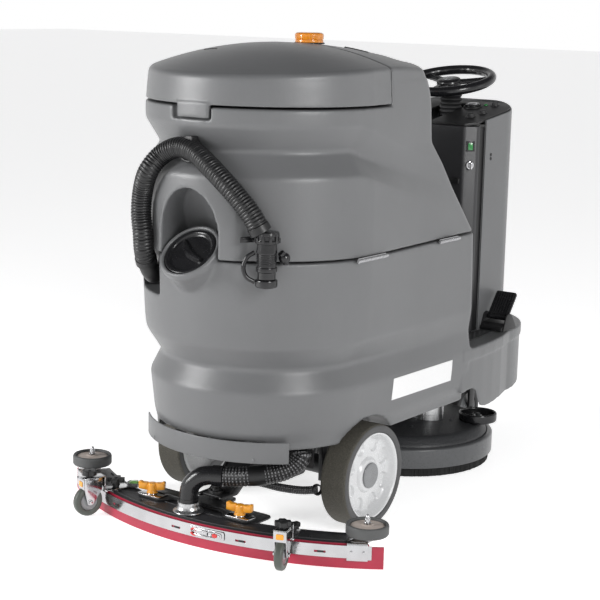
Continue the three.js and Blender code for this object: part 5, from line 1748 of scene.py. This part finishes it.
# ------------------------------------------------------------------ seat
def cushion(name, node, body, low, high, corner, swell, furrows):
    """A stuffed pad: a slightly small block, inflated as cloth, then given its sewn lines and piping."""
    inset = 9
    x0, y0, z0 = (v + inset for v in low)
    x1, y1, z1 = (v - inset for v in high)
    upright = z1 - z0 > y1 - y0
    if upright:
        shape = prism(rounded_box(x0, x1, z0, z1, corner, 6), y0, y1, "XZ")
    else:
        shape = prism(rounded_box(x0, x1, y0, y1, corner, 6), z0, z1)
    work = solid_object(shape)
    remesh = work.modifiers.new("even", "REMESH")
    remesh.mode = "VOXEL"
    remesh.voxel_size = 0.006
    applied(work)
    start = np.array([v.co for v in work.data.vertices])
    cloth = work.modifiers.new("stuffing", "CLOTH")
    cloth.settings.use_pressure = True
    cloth.settings.uniform_pressure_force = 4
    cloth.settings.effector_weights.gravity = 0
    cloth.settings.mass = 0.3
    cloth.settings.tension_stiffness = 40
    cloth.settings.compression_stiffness = 40
    cloth.settings.bending_stiffness = 1.5
    cloth.point_cache.frame_start, cloth.point_cache.frame_end = 1, 20
    for frame_number in range(1, 21):
        scene.frame_set(frame_number)
    bpy.context.view_layer.update()
    moved = work.evaluated_get(bpy.context.evaluated_depsgraph_get()).data
    end = np.array([v.co for v in moved.vertices])
    work.modifiers.clear()
    scene.frame_set(1)
    change = end - start
    reach = np.linalg.norm(change, axis=1)[:, None]
    change *= np.minimum(1, swell * MM / np.maximum(reach, 1e-9))
    end = start + change
    floor_point, ceiling = np.array(at(low)), np.array(at(high))
    middle = (floor_point + ceiling) / 2
    half = (ceiling - floor_point) / 2
    share = (end - middle) / half
    share = np.sign(share) * np.minimum(np.abs(share),
                                        0.86 + 0.14 * np.tanh(np.maximum(0, np.abs(share) - 0.86) / 0.14))
    end = middle + share * half
    for axis, value, width, depth, front_axis, sign in furrows:
        here = end[:, axis] - at([value if k == axis else 0 for k in range(3)])[axis]
        facing = smooth_step(sign * (end[:, front_axis] - middle[front_axis]) / half[front_axis], 0.25, 0.7)
        end[:, front_axis] -= sign * depth * MM * np.exp(-(here / (width * MM)) ** 2) * facing
    for vertex, place in zip(work.data.vertices, end):
        vertex.co = place
    finer = work.modifiers.new("finer", "SUBSURF")
    finer.levels = finer.render_levels = 1
    applied(work)
    mesh = work.data
    bpy.data.objects.remove(work)
    piece = shell_piece(mesh, name, VINYL, body, [node])
    piping = Part()
    for edge in (0, 1):
        if upright:
            line = rounded_box(x0 - 5, x1 + 5, z0 - 5, z1 + 5, corner, 8)
            level = (y1 + 1.5) if edge else (y0 - 1.5)
            loop = [(x, level, z) for x, z in line]
        else:
            line = rounded_box(x0 - 5, x1 + 5, y0 - 5, y1 + 5, corner, 8)
            level = (z1 + 1.5) if edge else (z0 - 1.5)
            loop = [(x, y, level) for x, y in line]
        piping.add(sweep(loop + loop[:1], 2.2, 10, 4.0))
    piping.make(name + "_piping", BLACK, body, slot="seat_vinyl")


def seat():
    """Seat cushion and seat back."""
    cushion("seat_cushion_look", "seat_cushion", "recovery_tank", (-198, -468, 656.3), (198, -208, 712), 34,
            24,
            [(1, -300, 5, 5, 2, 1), (1, -385, 5, 5, 2, 1), (0, -118, 5, 6, 2, 1), (0, 118, 5, 6, 2, 1)])
    cushion("seat_back_look", "seat_back", "recovery_tank", (-184, -204, 718), (184, -150.4, 985), 30, 22,
            [(2, 800, 5, 5, 1, -1), (2, 890, 5, 5, 1, -1), (0, -110, 5, 6, 1, -1), (0, 110, 5, 6, 1, -1)])


make_camera()
make_studio()
base_shell()
recovery_shell()
lid_shell()
rear_wheel("left", 1)
rear_wheel("right", -1)
front_wheel()
brush_deck()
drain_line()
filler_cap()
suction_line()
thin_hose()
squeegee_head()
for label, side in (("left", 1), ("right", -1)):
    guide_castor(label, side)
    wall_roller(label, side)
column()
running_gear()
batteries()
platform()
small_fittings()
seat()
